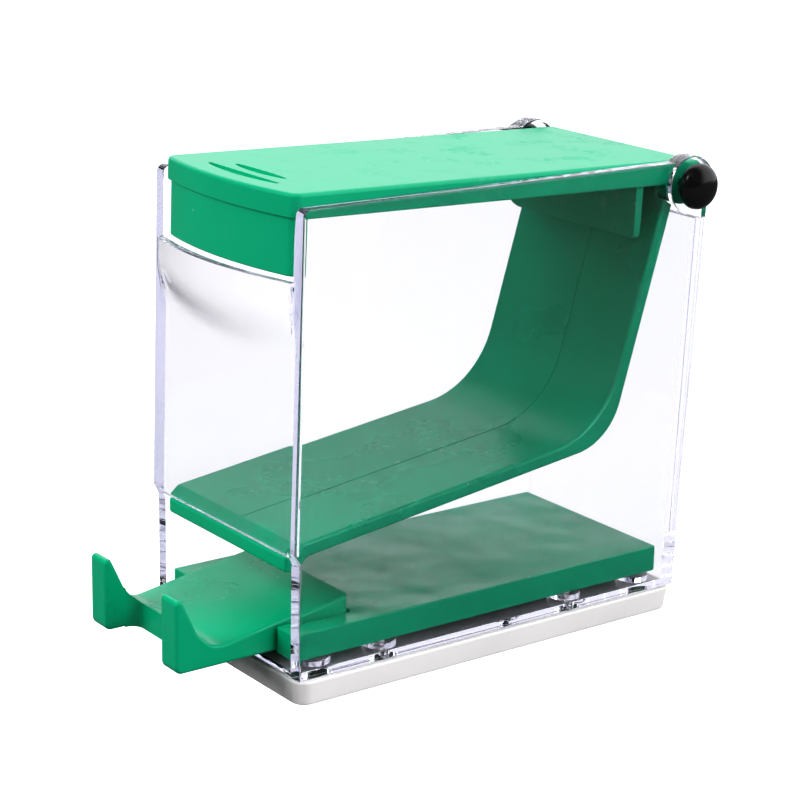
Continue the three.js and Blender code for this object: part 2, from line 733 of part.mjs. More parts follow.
// A torsion spring round the pin: one leg lies behind the bed's wall, the other on the
// rear wall's inner face.
function makeSprings() {
  const lean = degrees(bedWallLean);
  const pin = new THREE.Vector2(pinY, pinZ);
  const down = new THREE.Vector2(-Math.sin(lean), -Math.cos(lean));
  const behind = new THREE.Vector2(Math.cos(lean), -Math.sin(lean));
  const bedLegEnd = pin.clone().addScaledVector(down, springLeg)
    .addScaledVector(behind, bedThickness - bedKnuckleRadius + gap + wireRadius);
  const rearLegZ = pinZ - springLeg;
  const rearLegEnd = new THREE.Vector2(rearFace(rearLegZ) - rearWall - gap - wireRadius, rearLegZ);
  return [['return_spring_left', -1], ['return_spring_right', 1]].map(([name, side]) => {
    const x = side * springFromMiddle;
    const points = [new THREE.Vector3(x - coilWidth / 2, rearLegEnd.x, rearLegEnd.y)];
    const perTurn = 10;
    const turns = coilTurns - lean / (2 * Math.PI);
    const count = Math.round(turns * perTurn);
    for (let i = 0; i <= count; i += 1) {
      const angle = turns * 2 * Math.PI * i / count;
      points.push(new THREE.Vector3(x + coilWidth * (i / count - 0.5),
        pinY + coilRadius * Math.cos(angle), pinZ + coilRadius * Math.sin(angle)));
    }
    points.push(new THREE.Vector3(x + coilWidth / 2, bedLegEnd.x, bedLegEnd.y));
    const path = new THREE.CatmullRomCurve3(points, false, 'centripetal');
    const section = [];
    for (let i = 0; i < 6; i += 1) {
      const angle = i * Math.PI / 3;
      section.push(new THREE.Vector2(wireRadius * Math.cos(angle), wireRadius * Math.sin(angle)));
    }
    const wire = new THREE.ExtrudeGeometry(new THREE.Shape(section),
      { steps: 90, extrudePath: path, bevelEnabled: false });
    return piece(name, solid(wire), steel);
  });
}

// ---------- assembly ----------

const assembly = new THREE.Group();
assembly.add(makeHousing(), makeBase(), ...makeFeet(), ...makeScrews());
assembly.add(makeTray(), makeFork());
assembly.add(makeBed(), makePin(), ...makeCaps(), ...makeSprings());

const lidFrame = new THREE.Group();
lidFrame.position.set(0, pinY, pinZ);
lidFrame.rotation.x = -tilt;
lidFrame.add(makeLid());
assembly.add(lidFrame);

// Centre the overall box on the origin and stand the feet on Z = 0.
const rearmost = Math.max(pinY + lugRadius, rearFace(boxHeight));
assembly.position.set(0, -(forkFront + rearmost) / 2, -groundZ);

export default assembly;
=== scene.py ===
"""Dental cotton roll dispenser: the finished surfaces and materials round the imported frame."""

import json
from math import acos, asin, atan2, cos, degrees, pi, radians, sin, sqrt, tan

import bmesh
import bpy
from mathutils import Matrix, Vector


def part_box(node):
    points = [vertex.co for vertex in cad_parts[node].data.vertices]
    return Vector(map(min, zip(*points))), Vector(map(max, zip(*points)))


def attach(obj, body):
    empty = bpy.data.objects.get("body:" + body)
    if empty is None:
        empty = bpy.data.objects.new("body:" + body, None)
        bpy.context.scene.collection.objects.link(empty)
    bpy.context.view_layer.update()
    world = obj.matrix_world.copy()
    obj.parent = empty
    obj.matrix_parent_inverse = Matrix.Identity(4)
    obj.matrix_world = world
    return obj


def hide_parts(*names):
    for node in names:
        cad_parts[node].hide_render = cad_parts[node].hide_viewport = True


bl_info = {
    "name": "Cotton Roll Dispenser",
    "version": (1, 0, 0),
    "blender": (4, 5, 0),
    "location": "View3D > Sidebar > Dispenser",
    "description": "Models the pieces of a press-type cotton roll dispenser",
    "category": "Add Mesh",
}

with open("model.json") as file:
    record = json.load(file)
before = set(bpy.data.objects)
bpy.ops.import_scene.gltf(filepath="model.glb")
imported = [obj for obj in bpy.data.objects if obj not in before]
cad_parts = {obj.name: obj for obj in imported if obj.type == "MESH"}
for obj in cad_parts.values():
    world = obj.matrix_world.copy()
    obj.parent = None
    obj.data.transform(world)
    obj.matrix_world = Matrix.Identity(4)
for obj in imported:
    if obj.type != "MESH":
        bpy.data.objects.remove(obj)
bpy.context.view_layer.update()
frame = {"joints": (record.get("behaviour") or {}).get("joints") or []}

MM = 0.001
PIN = Vector(frame["joints"][0]["pos_m"])
BASE_LOW, BASE_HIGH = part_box("base_plate")
FORK_LOW, FORK_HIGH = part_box("dispensing_fork")
PIN_LOW, PIN_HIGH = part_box("hinge_pin")
PIN_RADIUS = PIN_HIGH.z - PIN.z
FEET = [f"foot_{number}" for number in (1, 2, 3, 4)]
SCREWS = [f"base_screw_{number}" for number in (1, 2, 3, 4)]
FOOT_LOW, FOOT_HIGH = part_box(FEET[-1])
SCREW_LOW, SCREW_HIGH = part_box(SCREWS[-1])

# The box's own outline: its half width, its front and rear at the floor, and its floor.
HALF = BASE_HIGH.x
FRONT = BASE_LOW.y
REAR = BASE_HIGH.y
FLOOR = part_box("clear_housing")[0].z

# Play between the lid's skirt and the front panel.
SWING_GAP = 0.5 * MM


# ---------- sizes and finishes ----------

def length(name, millimetres, description):
    """A size in the scene's metres, written in millimetres."""
    return bpy.props.FloatProperty(
        name=name, description=description, default=millimetres * MM, precision=5, unit="LENGTH"
    )


def angle(name, degrees, description):
    return bpy.props.FloatProperty(
        name=name, description=description, default=radians(degrees), subtype="ANGLE"
    )


def colour(name, value, description):
    return bpy.props.FloatVectorProperty(
        name=name, description=description, default=value, size=4, min=0, max=1, subtype="COLOR"
    )


def amount(name, value, description):
    return bpy.props.FloatProperty(
        name=name, description=description, default=value, min=0, max=1, subtype="FACTOR"
    )


class HousingSizes(bpy.types.PropertyGroup):
    side_wall: length("Side wall", 3, "Thickness of each side wall")
    rear_wall: length("Rear wall", 2.4, "Thickness of the rear wall")
    front_wall: length("Front panel", 2, "Thickness of the flat part of the front panel")
    bulge_wall: length("Bulge wall", 1.5, "Thickness of the panel's bulge")
    floor: length("Floor", 1.2, "Thickness of the floor")
    top_above_pin: length("Top above pin", 4.7, "Top of the side walls above the pin's axis")
    rear_behind_pin: length("Rear behind pin", 5.8, "Rear wall's outer top behind the pin's axis")
    front_lean: length("Front lean", 1.4, "How far the front panel's top stands back")
    panel_step: length("Panel step", 1.2, "How far the panel stands proud of the wall ends")
    opening: length("Opening", 24.7, "Height of the opening under the front panel")
    rear_drop: length("Rear wall drop", 12.2, "Rear wall's top below the side walls' top")
    bulge_upright: length("Bulge upright", 4.8, "The bulge keeps its depth this far down")
    bulge_foot: length("Bulge foot", 17, "The bulge dies out this far down, in the middle")
    bulge_foot_side: length("Bulge foot at the sides", 13, "The bulge dies out this far down")
    lug: length("Lug radius", 6, "Radius of the round bosses at the pin")
    boss: length("Boss height", 1, "Height of each boss outside its wall")
    corner: length("Front corner", 1.5, "Rounding of the walls' top front corners")
    rounding: length("Edge rounding", 0.55, "Radius of the long edges")
    pad: length("Pad radius", 3.4, "Radius of the round pads on the floor")
    pad_height: length("Pad height", 1.2, "Height of the pads above the floor")
    pad_inset: length("Pad inset", 7, "Pads' centres from the outside of the box")


class LidSizes(bpy.types.PropertyGroup):
    tilt: angle("Tilt", 1.6, "Angle that the lid's front stands up at rest")
    top: length("Top height", 4.4, "Lid's top face above the pin's axis")
    plate: length("Plate", 1.4, "Thickness of the lid's top")
    rim: length("Rim depth", 4.6, "Depth of the rim all round")
    rim_wall: length("Rim wall", 1.8, "Thickness of the rim and skirt")
    skirt: length("Skirt depth", 15.6, "Depth of the skirt across the front")
    skirt_set_back: length("Skirt set-back", 0.6, "Skirt's face behind the rim's face")
    skirt_return: length("Skirt return", 2.5, "Length of the skirt along each side")
    behind_pin: length("Behind the pin", 4.2, "Lid's rear edge behind the pin's axis")
    nose: length("Nose", 2.6, "Lid's front middle beyond the box's front edge")
    arc: length("Front arc", 88.7, "Plan radius of the lid's front and the panel's bulge")
    corner: length("Front corner", 2.2, "Plan rounding of the lid's front corners")
    half: length("Half width", 22.5, "Half of the lid's width")
    ear: length("Ear width", 3.4, "Width of the lid's two ears on the pin")
    rounding: length("Top rounding", 0.8, "Rounding of the lid's upper edge")
    groove: length("Groove width", 2.4, "Width of the two finger grooves, in the middle")
    groove_end: length("Groove end", 0.9, "Width of the grooves at their ends")
    groove_depth: length("Groove depth", 0.7, "Depth of the two finger grooves")
    rib_from_pin: length("Rib place", 10.3, "Rib under the lid, in front of the pin")
    rib: length("Rib thickness", 1.8, "Thickness of the rib")
    rib_reach: length("Rib reach", 11, "Rib's lower edge below the pin's axis")
    rib_round: length("Rib left corner", 6, "Rounding of the rib's lower left corner")


class BedSizes(bpy.types.PropertyGroup):
    thickness: length("Thickness", 2.8, "Thickness of the roll bed")
    lean: angle("Wall lean", 16, "Lean of the bed's back wall from upright")
    slope: angle("Floor slope", 7.5, "Slope of the bed's floor down to the front")
    inner_round: length("Inner rounding", 20, "Inner radius where wall and floor meet")
    outer_round: length("Outer rounding", 13, "Outer radius where wall and floor meet")
    knuckle: length("Knuckle radius", 2.6, "Radius of the knuckle on the pin")
    floor_start: length("Floor start", 2.2, "Floor's front end behind the front panel")
    floor_lift: length("Floor lift", 1.8, "Floor's front end above the panel's foot")
    lip_top: length("Lip top", 0.9, "Lip's top below the panel's foot")
    lip: length("Lip depth", 3, "Height of the lip's front face")
    lip_set_back: length("Lip set-back", 0.9, "Lip's face behind the panel's face")
    lip_length: length("Lip length", 1.6, "Length of the lip's foot")
    rounding: length("Edge rounding", 0.7, "Radius of the bed's side edges")


class ForkSizes(bpy.types.PropertyGroup):
    prong: length("Prong width", 5.7, "Width of each prong")
    apex: length("Prong apex", 18, "Height where the prong's two faces would meet")
    tip: length("Prong tip", 0.9, "Radius of the prong's tip")
    heel_reach: length("Heel reach", 4.9, "Where the prong's rear face meets the cradle")
    heel_rise: length("Heel rise", 3.6, "Height of that meeting above the cradle")
    throat: length("Throat radius", 2.5, "Corner radius of the gap between the prongs")
    web: length("Web", 1.6, "From that gap to the cradle's lowest line")
    cradle_reach: length("Cradle reach", 8.6, "Cradle's lowest line behind the prong tips")
    cradle: length("Cradle", 3.7, "Cradle's surface above the fork's underside")
    ramp: length("Ramp rise", 5, "Ramp's inner end above the cradle")
    tail: length("Tail", 17.2, "Fork's inner end behind the walls' front")
    wall: length("Wall", 1.9, "Wall round the hollow underside")
    rounding: length("Edge rounding", 0.7, "Radius of the fork's edges")


class TrimSizes(bpy.types.PropertyGroup):
    tray_plate: length("Tray plate", 2, "Thickness of the tray's top")
    tray_wall: length("Tray wall", 1.8, "Thickness of the tray's sides")
    tongue: length("Tongue", 1.2, "Thickness of the fork's tongue under the tray")
    tongue_inset: length("Tongue inset", 4, "Tongue's sides from the fork's sides")
    screw_hole: length("Screw hole", 1.4, "Radius of the holes round the screws' shanks")
    screw_boss: length("Screw boss", 2.9, "Radius of the tray's bosses round the screws")
    gap: length("Gap", 0.4, "Gap between pieces that do not move")
    base_corner: length("Base corner", 3, "Plan rounding of the base's corners")
    base_draft: length("Base draft", 0.5, "How far the base draws in at its foot")
    pin_fit: length("Pin fit", 0.3, "Clearance round the pin")
    cap_dome: length("Cap dome", 2.5, "Height of the cap's dome")
    wire: length("Wire radius", 0.3, "Radius of the spring wire")
    coil_width: length("Coil width", 4, "Width of each spring's coils")
    spring_place: length("Spring place", 6, "Each spring from the pin's middle")
    spring_leg: length("Spring leg", 14, "Length of each spring's legs")


class Finishes(bpy.types.PropertyGroup):
    green: colour("Green plastic", (0.0, 0.42, 0.225, 1), "Lid, bed, tray and fork")
    green_roughness: amount("Green roughness", 0.28, "Roughness of the green plastic")
    lid_roughness: amount("Lid roughness", 0.36, "Roughness of the lid's top")
    clear: colour("Clear plastic", (0.87, 0.865, 0.885, 1), "Tint of the clear box")
    depth: colour("Clear plastic, deep", (0.5, 0.5, 0.68, 1), "Tint along the clear walls")
    white: colour("White plastic", (0.95, 0.93, 0.93, 1), "Base")
    black: colour("Black plastic", (0.006, 0.006, 0.007, 1), "Pin caps")
    rubber: colour("Grey rubber", (0.5, 0.5, 0.49, 1), "Feet")
    steel: colour("Steel", (0.6, 0.6, 0.61, 1), "Pin, springs and screws")


class StageSizes(bpy.types.PropertyGroup):
    azimuth: angle("Azimuth", 53.257, "Camera's turn to the right of the front")
    elevation: angle("Elevation", 16.448, "Camera's height angle")
    roll: angle("Roll", 1.233, "Camera's roll")
    distance: length("Distance", 481, "Camera from the point it aims at")
    aim: bpy.props.FloatVectorProperty(
        name="Aim", description="Point that the camera aims at", default=(-0.0021, 0.0038, 0.0482),
        subtype="TRANSLATION", unit="LENGTH",
    )
    lens: bpy.props.FloatProperty(name="Lens", description="Focal length", default=105.52, unit="CAMERA")
    floor: length("Floor size", 6000, "Side of the pale floor")


SETTINGS = {
    "dispenser_housing": HousingSizes,
    "dispenser_lid": LidSizes,
    "dispenser_bed": BedSizes,
    "dispenser_fork": ForkSizes,
    "dispenser_trim": TrimSizes,
    "dispenser_finish": Finishes,
    "dispenser_stage": StageSizes,
}


def sizes(name):
    return getattr(bpy.context.scene, "dispenser_" + name)


# ---------- outlines ----------

def arc(centre, radius, start, end, steps):
    """Points of an arc, from the start angle to the end angle, in degrees."""
    turns = [radians(start + (end - start) * i / steps) for i in range(steps + 1)]
    return [(centre[0] + radius * cos(t), centre[1] + radius * sin(t)) for t in turns]


def rounded(corners, steps=8):
    """An outline's points; a corner given as (u, v, radius) becomes an arc."""
    points = []
    for i, corner in enumerate(corners):
        here = Vector(corner[:2])
        radius = corner[2] if len(corner) > 2 else 0
        if radius == 0:
            points.append(tuple(here))
            continue
        back = (Vector(corners[i - 1][:2]) - here).normalized()
        ahead = (Vector(corners[(i + 1) % len(corners)][:2]) - here).normalized()
        half_angle = acos(max(-1, min(1, back.dot(ahead)))) / 2
        centre = here + (back + ahead).normalized() * (radius / sin(half_angle))
        first = here + back * (radius / tan(half_angle)) - centre
        last = here + ahead * (radius / tan(half_angle)) - centre
        turn = atan2(first.x * last.y - first.y * last.x, first.dot(last))
        for step in range(steps + 1):
            arm = Matrix.Rotation(turn * step / steps, 2) @ first
            points.append(tuple(centre + arm))
    return points


def on_plane(plane, u, v, depth):
    """A point from its two coordinates in a plane and its place across it."""
    return {"YZ": Vector((depth, u, v)), "XZ": Vector((u, depth, v)), "XY": Vector((u, v, depth))}[plane]


# ---------- modelling steps ----------

def object_mode():
    if bpy.context.object and bpy.context.object.mode != "OBJECT":
        bpy.ops.object.mode_set(mode="OBJECT")
    bpy.ops.object.select_all(action="DESELECT")


def take(piece):
    """Makes the piece the only selected object."""
    object_mode()
    piece.select_set(True)
    bpy.context.view_layer.objects.active = piece


def edit(piece):
    take(piece)
    bpy.ops.object.mode_set(mode="EDIT")


def pick(piece, kind, test):
    """Selects the edit mesh's faces or edges that pass the test; returns how many."""
    bpy.ops.mesh.select_mode(type=kind)
    bpy.ops.mesh.select_all(action="DESELECT")
    mesh = bmesh.from_edit_mesh(piece.data)
    items = mesh.faces if kind == "FACE" else mesh.edges
    chosen = [item for item in items if test(item)]
    for item in chosen:
        item.select_set(True)
    bmesh.update_edit_mesh(piece.data)
    return len(chosen)


def face_outward(piece):
    edit(piece)
    bpy.ops.mesh.select_all(action="SELECT")
    bpy.ops.mesh.remove_doubles(threshold=1e-7)
    bpy.ops.mesh.normals_make_consistent(inside=False)
    object_mode()


def line_through(name, points):
    """Starts a piece in edit mode: a point, extruded from place to place."""
    object_mode()
    bpy.ops.mesh.primitive_plane_add(size=MM, location=points[0])
    piece = bpy.context.object
    piece.name = name
    bpy.ops.object.transform_apply(location=True, rotation=True, scale=True)
    bpy.ops.object.mode_set(mode="EDIT")
    bpy.ops.mesh.select_mode(type="VERT")
    bpy.ops.mesh.select_all(action="SELECT")
    bpy.ops.mesh.merge(type="CENTER")
    for start, end in zip(points, points[1:]):
        bpy.ops.mesh.extrude_region_move(TRANSFORM_OT_translate={"value": end - start})
    bpy.ops.mesh.select_all(action="SELECT")
    return piece


def drawn(name, plane, outline, low, high):
    """A closed outline in a plane, filled, and extruded across it."""
    piece = line_through(name, [on_plane(plane, u, v, low) for u, v in outline])
    bpy.ops.mesh.edge_face_add()
    bpy.ops.mesh.select_mode(type="FACE")
    bpy.ops.mesh.select_all(action="SELECT")
    across = on_plane(plane, 0, 0, high - low)
    bpy.ops.mesh.extrude_region_move(TRANSFORM_OT_translate={"value": across})
    face_outward(piece)
    return piece


def turned(name, axis, centre, profile, segments=48):
    """A profile of (radius, distance along the axis) spun round the axis, x or z."""
    along = Vector((1, 0, 0)) if axis == "X" else Vector((0, 0, 1))
    out = Vector((0, 0, 1)) if axis == "X" else Vector((1, 0, 0))
    piece = line_through(name, [centre + out * radius + along * far for radius, far in profile])
    bpy.ops.mesh.spin(steps=segments, angle=2 * pi, center=centre, axis=along)
    bpy.ops.mesh.select_all(action="SELECT")
    bpy.ops.mesh.remove_doubles(threshold=1e-6)
    face_outward(piece)
    return piece


def bevelled(piece, width, segments, test):
    """Rounds the edges that pass the test."""
    edit(piece)
    if pick(piece, "EDGE", test):
        bpy.ops.mesh.bevel(offset=width, segments=segments, profile=0.5, affect="EDGES", clamp_overlap=True)
    object_mode()
    return piece


def sharp(edge, least=radians(35)):
    """True where two faces meet at more than the least angle."""
    return len(edge.link_faces) == 2 and edge.calc_face_angle(0) > least


def join(piece, other, operation="UNION"):
    """Joins the other solid to the piece, or cuts it away."""
    take(piece)
    modifier = piece.modifiers.new(operation.lower(), "BOOLEAN")
    modifier.operation = operation
    modifier.solver = "MANIFOLD"
    modifier.object = other
    bpy.ops.object.modifier_apply(modifier=modifier.name)
    bpy.data.meshes.remove(other.data)
    if not piece.data.polygons:
        raise RuntimeError("Nothing is left of " + piece.name)
    return piece


def cut(piece, other):
    return join(piece, other, "DIFFERENCE")


def rod(name, axis, radius, low, high, u, v, bevel=0.0, segments=48):
    """A round bar along x or z, with rounded ends if it has a bevel."""
    profile = [(0, 0), (radius, 0), (radius, high - low), (0, high - low)]
    if bevel:
        shoulder = high - low - bevel
        ends = arc((radius - bevel, shoulder), bevel, 0, 90, 4)
        starts = [(r, bevel - (h - shoulder)) for r, h in reversed(ends)]
        profile = [(0, 0)] + starts + ends + [(0, high - low)]
    centre = Vector((low, u, v)) if axis == "X" else Vector((u, v, low))
    return turned(name, axis, centre, profile, segments)


def smooth(piece, degrees=32):
    """Smooth shading on the curves, with the flat faces left flat."""
    take(piece)
    bpy.ops.object.shade_smooth_by_angle(angle=radians(degrees), keep_sharp_edges=False)
    modifier = piece.modifiers.new("flat faces", "WEIGHTED_NORMAL")
    modifier.keep_sharp = True
    modifier.weight = 100
    bpy.ops.object.modifier_apply(modifier=modifier.name)
    return piece


def duplicate(piece, name):
    """A copy with its own mesh."""
    object_mode()
    twin = piece.copy()
    twin.data = piece.data.copy()
    twin.name = name
    bpy.context.scene.collection.objects.link(twin)
    return twin


def copy_of(piece, name, offset):
    """A copy with its own mesh, moved by the offset."""
    twin = duplicate(piece, name)
    edit(twin)
    bpy.ops.mesh.select_all(action="SELECT")
    bpy.ops.transform.translate(value=offset)
    object_mode()
    return twin


def turned_over(piece):
    """The same mesh, mirrored to the other side of the middle."""
    edit(piece)
    bpy.ops.mesh.select_all(action="SELECT")
    bpy.ops.transform.resize(value=(-1, 1, 1), center_override=(0, 0, 0))
    face_outward(piece)
    return piece


def mirrored(piece, name):
    """A copy with its own mesh, mirrored to the other side of the middle."""
    return turned_over(duplicate(piece, name))


def finished(piece, look, slot, body, *nodes):
    """Gives the piece its material and ties it to the frame."""
    object_mode()
    piece.data.materials.clear()
    piece.data.materials.append(look)
    for polygon in piece.data.polygons:
        polygon.material_index = 0
    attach(piece, body)
    if nodes:
        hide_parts(*nodes)
    return piece


# ---------- places that several pieces share ----------

def rear_face(z):
    """Y of the rear wall's outer face at a height above the floor's underside."""
    housing = sizes("housing")
    height = PIN.z + housing.top_above_pin - FLOOR
    return REAR + (PIN.y + housing.rear_behind_pin - REAR) * z / height


def panel_face(z):
    """Y of the front panel's outer face at a height above the floor's underside."""
    housing = sizes("housing")
    height = PIN.z + housing.top_above_pin - FLOOR
    rise = (z - housing.opening) / (height - housing.opening)
    return FRONT - housing.panel_step + housing.front_lean * rise


def arc_drop(x):
    """How far the lid's front arc falls back at a distance from the middle."""
    radius = sizes("lid").arc
    return radius - sqrt(radius * radius - x * x)


def panel_top():
    """Height of the front panel's upper edge, just below the lid's skirt."""
    lid = sizes("lid")
    nose = FRONT - lid.nose - PIN.y
    return PIN.z + (lid.top - lid.skirt) * cos(lid.tilt) - nose * sin(lid.tilt) - SWING_GAP


def panel_inner_y():
    """Y of the bulge's inner face in the middle, behind the lid's skirt."""
    lid = sizes("lid")
    nose = FRONT - lid.nose - PIN.y + lid.skirt_set_back
    return PIN.y + nose * cos(lid.tilt) + (lid.top - lid.skirt) * sin(lid.tilt) - SWING_GAP


def fading(below, upright, foot):
    """1 down to the bulge's upright part, eased to 0 at its foot."""
    t = max(0.0, min(1.0, (below - upright) / (foot - upright)))
    return 1 - t * t * (3 - 2 * t)


def middle_of(node):
    low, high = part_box(node)
    return (low + high) / 2


def pad_places():
    """Centres of the floor pads: beside the fork, at the two screw rows, and at the rear."""
    inset = sizes("housing").pad_inset
    rows = [FRONT + inset, middle_of("base_screw_3").y, middle_of("base_screw_4").y, REAR - inset]
    return [(side * (HALF - inset), row) for side in (-1, 1) for row in rows]


def pin_hole(low, high):
    """A cutter for the hole that the pin runs in."""
    return rod("pin_hole", "X", PIN_RADIUS + sizes("trim").pin_fit, low, high, PIN.y, PIN.z)


def hole_at(node, radius, low, high, segments=24):
    """An upright cutter in the middle of a screw or foot."""
    middle = middle_of(node)
    return rod("hole", "Z", radius, low, high, middle.x, middle.y, 0, segments)


# ---------- shader node groups ----------

def new_group(name, inputs, outputs):
    group = bpy.data.node_groups.new(name, "ShaderNodeTree")
    for label, kind, default in inputs:
        socket = group.interface.new_socket(label, in_out="INPUT", socket_type=kind)
        socket.default_value = default
    for label, kind in outputs:
        group.interface.new_socket(label, in_out="OUTPUT", socket_type=kind)
    return group, group.nodes.new("NodeGroupInput"), group.nodes.new("NodeGroupOutput")


def maths(nodes, links, operation, *values, clamp=False):
    """A sum of sockets and numbers."""
    node = nodes.new("ShaderNodeMath")
    node.operation = operation
    node.use_clamp = clamp
    for value, socket in zip(values, node.inputs):
        if isinstance(value, (int, float)):
            socket.default_value = value
        else:
            links.new(value, socket)
    return node.outputs[0]


def scale_by(nodes, links, source, factor, offset=0.0):
    """source x factor + offset."""
    return maths(nodes, links, "MULTIPLY_ADD", source, factor, offset)


def ramp(nodes, links, source, low, high):
    """0 below low, 1 above high, eased between."""
    node = nodes.new("ShaderNodeMapRange")
    node.interpolation_type = "SMOOTHSTEP"
    links.new(source, node.inputs["Value"])
    node.inputs["From Min"].default_value = low
    node.inputs["From Max"].default_value = high
    return node.outputs["Result"]


def noise(nodes, links, vector, scale, detail=2.0, roughness=0.5):
    node = nodes.new("ShaderNodeTexNoise")
    links.new(vector, node.inputs["Vector"])
    node.inputs["Scale"].default_value = scale
    node.inputs["Detail"].default_value = detail
    node.inputs["Roughness"].default_value = roughness
    return node.outputs["Fac"]


def moulding_group():
    """The skin of moulded plastic: flow marks, fine texture, dust specks and rubbed patches."""
    group, inlet, outlet = new_group(
        "Moulded skin",
        [("Colour", "NodeSocketColor", (0.5, 0.5, 0.5, 1)),
         ("Roughness", "NodeSocketFloat", 0.3),
         ("Rubbing", "NodeSocketFloat", 0.3),
         ("Dust", "NodeSocketFloat", 0.3)],
        [("Colour", "NodeSocketColor"),
         ("Roughness", "NodeSocketFloat"),
         ("Height", "NodeSocketFloat")],
    )
    nodes, links = group.nodes, group.links
    place = nodes.new("ShaderNodeTexCoord").outputs["Object"]
    flow = noise(nodes, links, place, 38, 2, 0.45)
    cloud = noise(nodes, links, place, 120, 3, 0.6)
    crumbs = noise(nodes, links, place, 700, 3, 0.7)
    fine = noise(nodes, links, place, 1900, 2, 0.6)
    # Rubbed patches: clouds broken up by a finer noise.
    patches = maths(nodes, links, "MULTIPLY", ramp(nodes, links, cloud, 0.5, 0.72),
                    ramp(nodes, links, crumbs, 0.42, 0.62))
    rubbing = maths(nodes, links, "MULTIPLY", patches, inlet.outputs["Rubbing"])
    # Dust: sparse small specks.
    cells = nodes.new("ShaderNodeTexVoronoi")
    cells.inputs["Scale"].default_value = 330
    links.new(place, cells.inputs["Vector"])
    near = nodes.new("ShaderNodeMapRange")
    links.new(cells.outputs["Distance"], near.inputs["Value"])
    near.inputs["From Min"].default_value = 0.1
    near.inputs["From Max"].default_value = 0.05
    rare = nodes.new("ShaderNodeSeparateColor")
    links.new(cells.outputs["Color"], rare.inputs["Color"])
    speck = maths(nodes, links, "MULTIPLY", near.outputs["Result"],
                  ramp(nodes, links, rare.outputs["Red"], 0.9, 0.92))
    dust = maths(nodes, links, "MULTIPLY", speck, inlet.outputs["Dust"])
    # Colour: a little lighter and darker with the flow, paler where rubbed or dusty.
    tone = nodes.new("ShaderNodeHueSaturation")
    links.new(inlet.outputs["Colour"], tone.inputs["Color"])
    links.new(scale_by(nodes, links, flow, 0.24, 0.88), tone.inputs["Value"])
    pale = nodes.new("ShaderNodeMix")
    pale.data_type = "RGBA"
    links.new(tone.outputs["Color"], pale.inputs["A"])
    pale.inputs["B"].default_value = (0.75, 0.77, 0.75, 1)
    veil = maths(nodes, links, "MULTIPLY_ADD", rubbing, 0.1, dust, clamp=True)
    links.new(veil, pale.inputs["Factor"])
    links.new(pale.outputs["Result"], outlet.inputs["Colour"])
    # Roughness: rises where rubbed.
    flowing = scale_by(nodes, links, flow, 0.08, -0.04)
    base = maths(nodes, links, "ADD", inlet.outputs["Roughness"], flowing)
    rough = maths(nodes, links, "MULTIPLY_ADD", rubbing, 0.3, base, clamp=True)
    links.new(rough, outlet.inputs["Roughness"])
    # Height: gentle waves, fine texture and specks.
    height = scale_by(nodes, links, fine, 0.012, flow)
    raised = scale_by(nodes, links, dust, 0.3, height)
    links.new(raised, outlet.inputs["Height"])
    return group


# ---------- materials ----------

def new_look(name):
    look = bpy.data.materials.new(name)
    look.use_nodes = True
    nodes, links = look.node_tree.nodes, look.node_tree.links
    return look, nodes, links, nodes["Principled BSDF"]


def skin(nodes, links, shader, tint, roughness, rubbing, dust, bump, distance):
    """Puts the moulded skin on a shader."""
    node = nodes.new("ShaderNodeGroup")
    node.node_tree = bpy.data.node_groups["Moulded skin"]
    node.inputs["Colour"].default_value = tint
    node.inputs["Roughness"].default_value = roughness
    node.inputs["Rubbing"].default_value = rubbing
    node.inputs["Dust"].default_value = dust
    relief = nodes.new("ShaderNodeBump")
    relief.inputs["Strength"].default_value = bump
    relief.inputs["Distance"].default_value = distance
    links.new(node.outputs["Height"], relief.inputs["Height"])
    links.new(node.outputs["Colour"], shader.inputs["Base Color"])
    links.new(node.outputs["Roughness"], shader.inputs["Roughness"])
    links.new(relief.outputs["Normal"], shader.inputs["Normal"])
    return node


def green_look():
    finish = sizes("finish")
    look, nodes, links, shader = new_look("Green plastic")
    skin(nodes, links, shader, finish.green, finish.green_roughness, 0.12, 0.25, 0.3, 0.0004)
    return look


def lid_look():
    """The lid's green: a little matter, and scuffed where hands and trays rub its top."""
    finish = sizes("finish")
    look, nodes, links, shader = new_look("Lid green plastic")
    node = skin(nodes, links, shader, finish.green, finish.lid_roughness, 1.0, 0.3, 0.35, 0.0004)
    place = nodes.new("ShaderNodeTexCoord").outputs["Object"]
    parts = nodes.new("ShaderNodeSeparateXYZ")
    links.new(place, parts.inputs["Vector"])
    rear = ramp(nodes, links, parts.outputs["Y"], -0.02, 0.03)
    links.new(scale_by(nodes, links, rear, 1.0, 0.25), node.inputs["Rubbing"])
    return look


